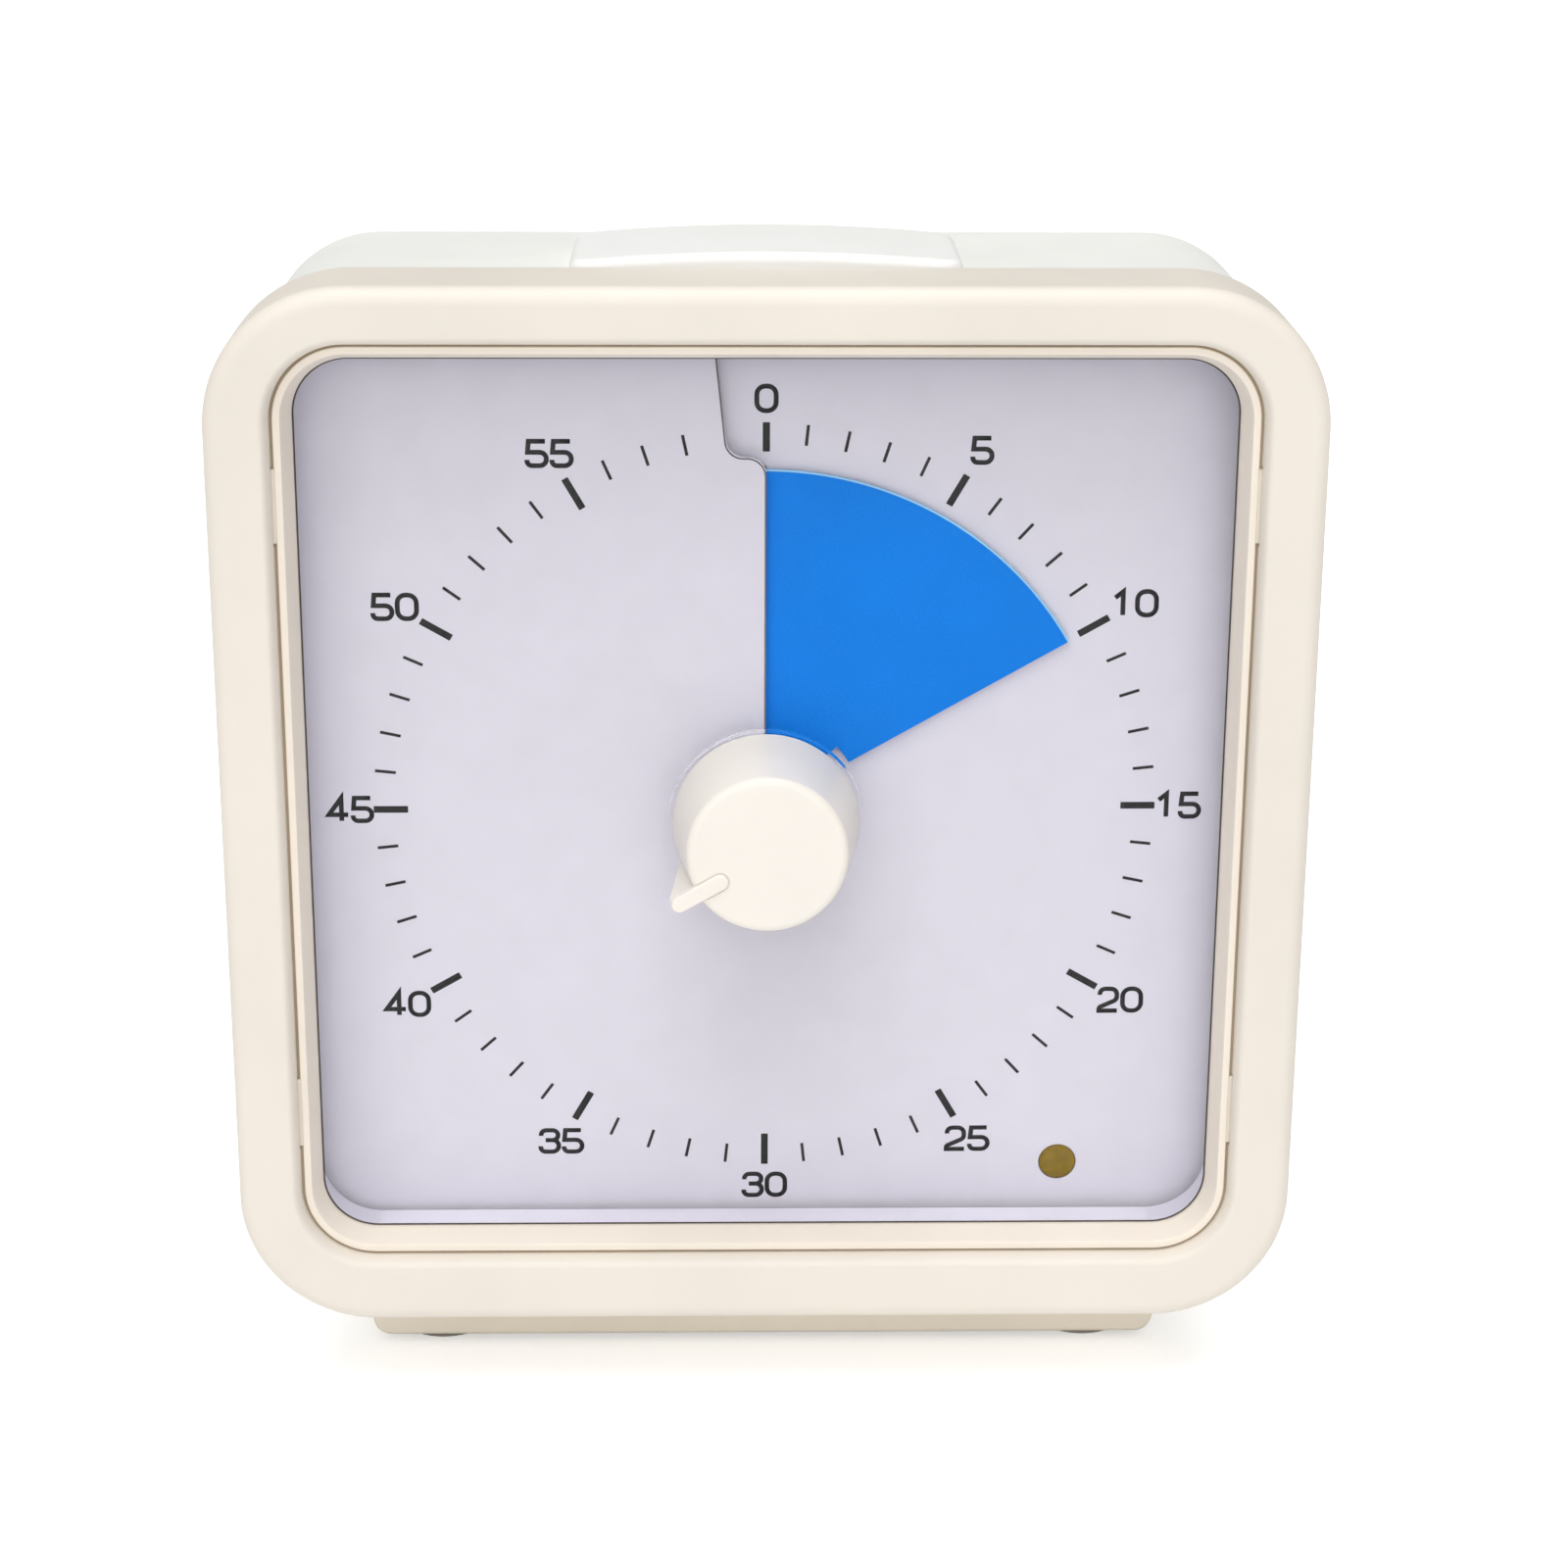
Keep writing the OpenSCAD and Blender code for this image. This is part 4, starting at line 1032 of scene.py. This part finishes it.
def make_housing():
    """Rear housing: screw posts, a bay for the cells, a sound grille and openings for slider and button."""
    deep, front = 5.0, -3.0
    lip_r, outer_r, inner_r = 0.1, 3.0, 1.0
    inside_y = REAR_Y - WALL
    outline = rounded([
        (BODY_U - WALL, front, lip_r), (BODY_U, front, lip_r), (BODY_U, REAR_Y, outer_r), (deep, REAR_Y, 0),
        (deep, inside_y, 0), (BODY_U - WALL, inside_y, inner_r)], 10)
    # open the outline between the two inner ends, so that the rear wall's two faces can be filled
    split = next(i for i, p in enumerate(outline) if abs(p.x - deep) < 1e-6 and abs(p.y - REAR_Y) > 1)
    outline = outline[split:] + outline[:split]
    bm = sweep_case(outline, closed=False)
    close_holes(bm)
    housing = to_object("housing", bm)

    # posts and bay walls are rooted a little way into the rear wall
    root_y = inside_y + 0.5
    post_c, post_r, post_y = CORNER_C + BODY_U - 11, 3.2, 10.2
    post_places = [(x, FRAME_UP + z) for x in (-post_c, post_c) for z in (-post_c, post_c)]
    posts = [rod(post_r, post_y, root_y, place) for place in post_places]
    bay_in, bay_y, bay_wall = 1.4, 16.0, Vector((1.2, 1.2, 1.2))
    bay_low = Vector((cover_low.x + bay_in, bay_y, cover_low.z + bay_in))
    bay_high = Vector((cover_high.x - bay_in, REAR_Y + OVER, cover_high.z - bay_in))
    wall_high = bay_high + bay_wall
    wall_high.y = root_y
    combine(housing, gather(posts + [block(bay_low - bay_wall, wall_high)]), "UNION")

    head_r, head_d = 2.8, 3
    cuts = [rod(head_r, REAR_Y - head_d, REAR_Y + OVER, place, sides=40) for place in post_places]
    # five rows of five holes, less the corner ones
    grille_x, grille_z, hole_r, hole_pitch = -24, 24, 0.9, 3.2
    for i in range(-2, 3):
        for j in range(-2, 3):
            place = (grille_x + hole_pitch * i, grille_z + hole_pitch * j)
            if abs(i) + abs(j) < 4:
                cuts.append(rod(hole_r, inside_y - OVER, REAR_Y + OVER, place, sides=20))
    cuts.append(block(bay_low, bay_high))
    combine(housing, gather(cuts), "DIFFERENCE")

    door_gap, door_d, slide_c, slide_d = 0.2, 1.6, 27, 0.8
    lip = block((cover_low.x - door_gap, REAR_Y - door_d, cover_low.z - door_gap),
                (cover_high.x + door_gap, REAR_Y + OVER, cover_high.z + door_gap), Y, 1.5)
    recess = slider_block(slide_c, 7, 4, REAR_Y - slide_d, 1.5)
    combine(housing, gather([lip, recess]), "DIFFERENCE")
    slot = slider_block(slide_c, 3.9, 1.9, inside_y - OVER, 0.5)
    mouth = block((-BUTTON_HALF - BUTTON_GAP, BUTTON_FRONT - BUTTON_GAP, BODY_TOP - WALL - OVER),
                  (BUTTON_HALF + BUTTON_GAP, BUTTON_BACK + BUTTON_GAP, BODY_TOP + OVER),
                  Z, BUTTON_CORNER + BUTTON_GAP)
    combine(housing, gather([slot, mouth]), "DIFFERENCE")
    piece("housing", housing, "case", "cream_plastic", cool_white, "rear_housing")


make_housing()


def make_plinth():
    """Foot with rounded ends and eased rims."""
    corner, rim = 1.8, 0.45
    shape = block(foot_low, foot_high, Y, corner, rim, 8)
    # painted light: the plinth's cream is lightened against the shade it sits in
    piece("plinth", shape, "case", "cream_plastic", plinth_cream_painted_light, "foot_plinth")


make_plinth()


def make_battery_door():
    """Battery door with eased edges, a ribbed hollow for the thumb and its hook."""
    thick, corner, rim = 1.6, 1.3, 0.25
    inner_y = REAR_Y - thick
    bay_top = cover_high.z - 1.2
    grip_z = bay_top - 3
    shape = block((cover_low.x, inner_y, cover_low.z), (cover_high.x, REAR_Y, cover_high.z), Y, corner, rim)
    door = to_object("battery_door", shape)
    hollow_r, hollow_half, hollow_off = 5.8, 7, 5.0
    hollow = rod(hollow_r, -hollow_half, hollow_half, (REAR_Y + hollow_off, grip_z), "X", 128)
    combine(door, hollow, "DIFFERENCE")

    hook_half, hook_l, hook_low, hook_high = 4, 2.4, bay_top - 1.5, bay_top - 0.3
    parts = [block((-hook_half, inner_y - hook_l, hook_low), (hook_half, inner_y + 0.1, hook_high))]
    rib_x, rib_z, rib_pitch, rib_edge = 6.5, 0.22, 0.95, 0.12
    rib_front, rib_back = REAR_Y - 1.0, REAR_Y - 0.1
    for k in range(-2, 3):
        z = grip_z + rib_pitch * k
        parts.append(block((-rib_x, rib_front, z - rib_z), (rib_x, rib_back, z + rib_z), X, rib_edge))
    combine(door, gather(parts), "UNION")
    piece("battery_door", door, "cover", "cream_plastic", cool_white, "battery_cover")


make_battery_door()


# ---------- top button ----------


def make_button():
    """Wide top button with a low crown, a flange that keeps it in and sockets for its springs."""
    half, crown, rim = BUTTON_HALF, 0.9, 0.9
    top = button_high.z
    bottom = BODY_TOP - WALL - 1.5
    bm = block((-half, BUTTON_FRONT, bottom), (half, BUTTON_BACK, top), Z, BUTTON_CORNER, 0, 8)
    roof = [f for f in bm.faces if f.normal.z > 0.9]
    bevel(bm, edges_of(bm, roof), rim, 5)
    bmesh.ops.triangulate(bm, faces=[f for f in bm.faces if len(f.verts) > 4])
    # cut across into slices, so that the roof can take the crown's curve
    slices = 13
    for k in range(1 - slices, slices):
        bmesh.ops.bisect_plane(bm, geom=bm.verts[:] + bm.edges[:] + bm.faces[:], dist=1e-5,
                               plane_co=(half * k / slices, 0, 0), plane_no=X)
    for v in bm.verts:
        share = max(0.0, (v.co.z - bottom) / (top - bottom))
        v.co.z -= crown * (v.co.x / half) ** 2 * min(1, share * 1.5)
    button = to_object("top_button", bm)
    flange_x, flange_front, flange_back, flange_t = half + 1.5, 5.6, 19.6, 1.4
    flange = block((-flange_x, flange_front, bottom), (flange_x, flange_back, bottom + flange_t), Z, 1.0)
    combine(button, flange, "UNION")

    # sockets that leave room for the springs when the button is pressed
    travel, play = 1.2, 0.3
    coil_r = (springs_high.y - springs_low.y) / 2
    mid_y = (springs_high.y + springs_low.y) / 2
    socket_x = springs_high.x - coil_r
    socket_top = springs_high.z + travel + play
    sockets = [rod(coil_r + play, bottom - OVER, socket_top, (x, mid_y), "Z") for x in (-socket_x, socket_x)]
    combine(button, gather(sockets), "DIFFERENCE")
    piece("top_button", button, "button", "cream_plastic", warm_white, "light_button")


make_button()


# ---------- looks of the CAD pieces that stay ----------

LOOKS = {
    "housing_screws": steel, "plinth_screws": steel, "foot_pads": rubber, "chassis_plate": inner_white,
    "disc_hub": inner_white, "spindle": steel, "bush_nut": brass, "movement_case": inner_white,
    "movement_cover": inner_white, "movement_screws": steel, "clutch_spring": steel,
    "centre_wheel": train_plastic, "wheel_clip": steel, "third_wheel": train_plastic,
    "train_bridge": inner_white, "fourth_wheel": train_plastic, "rotor": magnet,
    "stator_plate": stator_steel, "coil_bobbin": black_plastic, "button_springs": steel,
    "switch_bracket": inner_white, "switch_body": black_plastic, "switch_plunger": black_plastic,
    "sounder": black_plastic, "volume_switch": steel, "volume_slider": black_plastic,
    "contact_plates": steel, "contact_springs": steel, "upper_cell": cell_wrap,
    "lower_cell": cell_wrap, "coil_winding": coil_wire, "circuit_board": board, "battery_leads": lead_wire,
}
for node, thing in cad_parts.items():
    thing.data.materials.clear()
    thing.data.materials.append(LOOKS.get(node, inner_white))
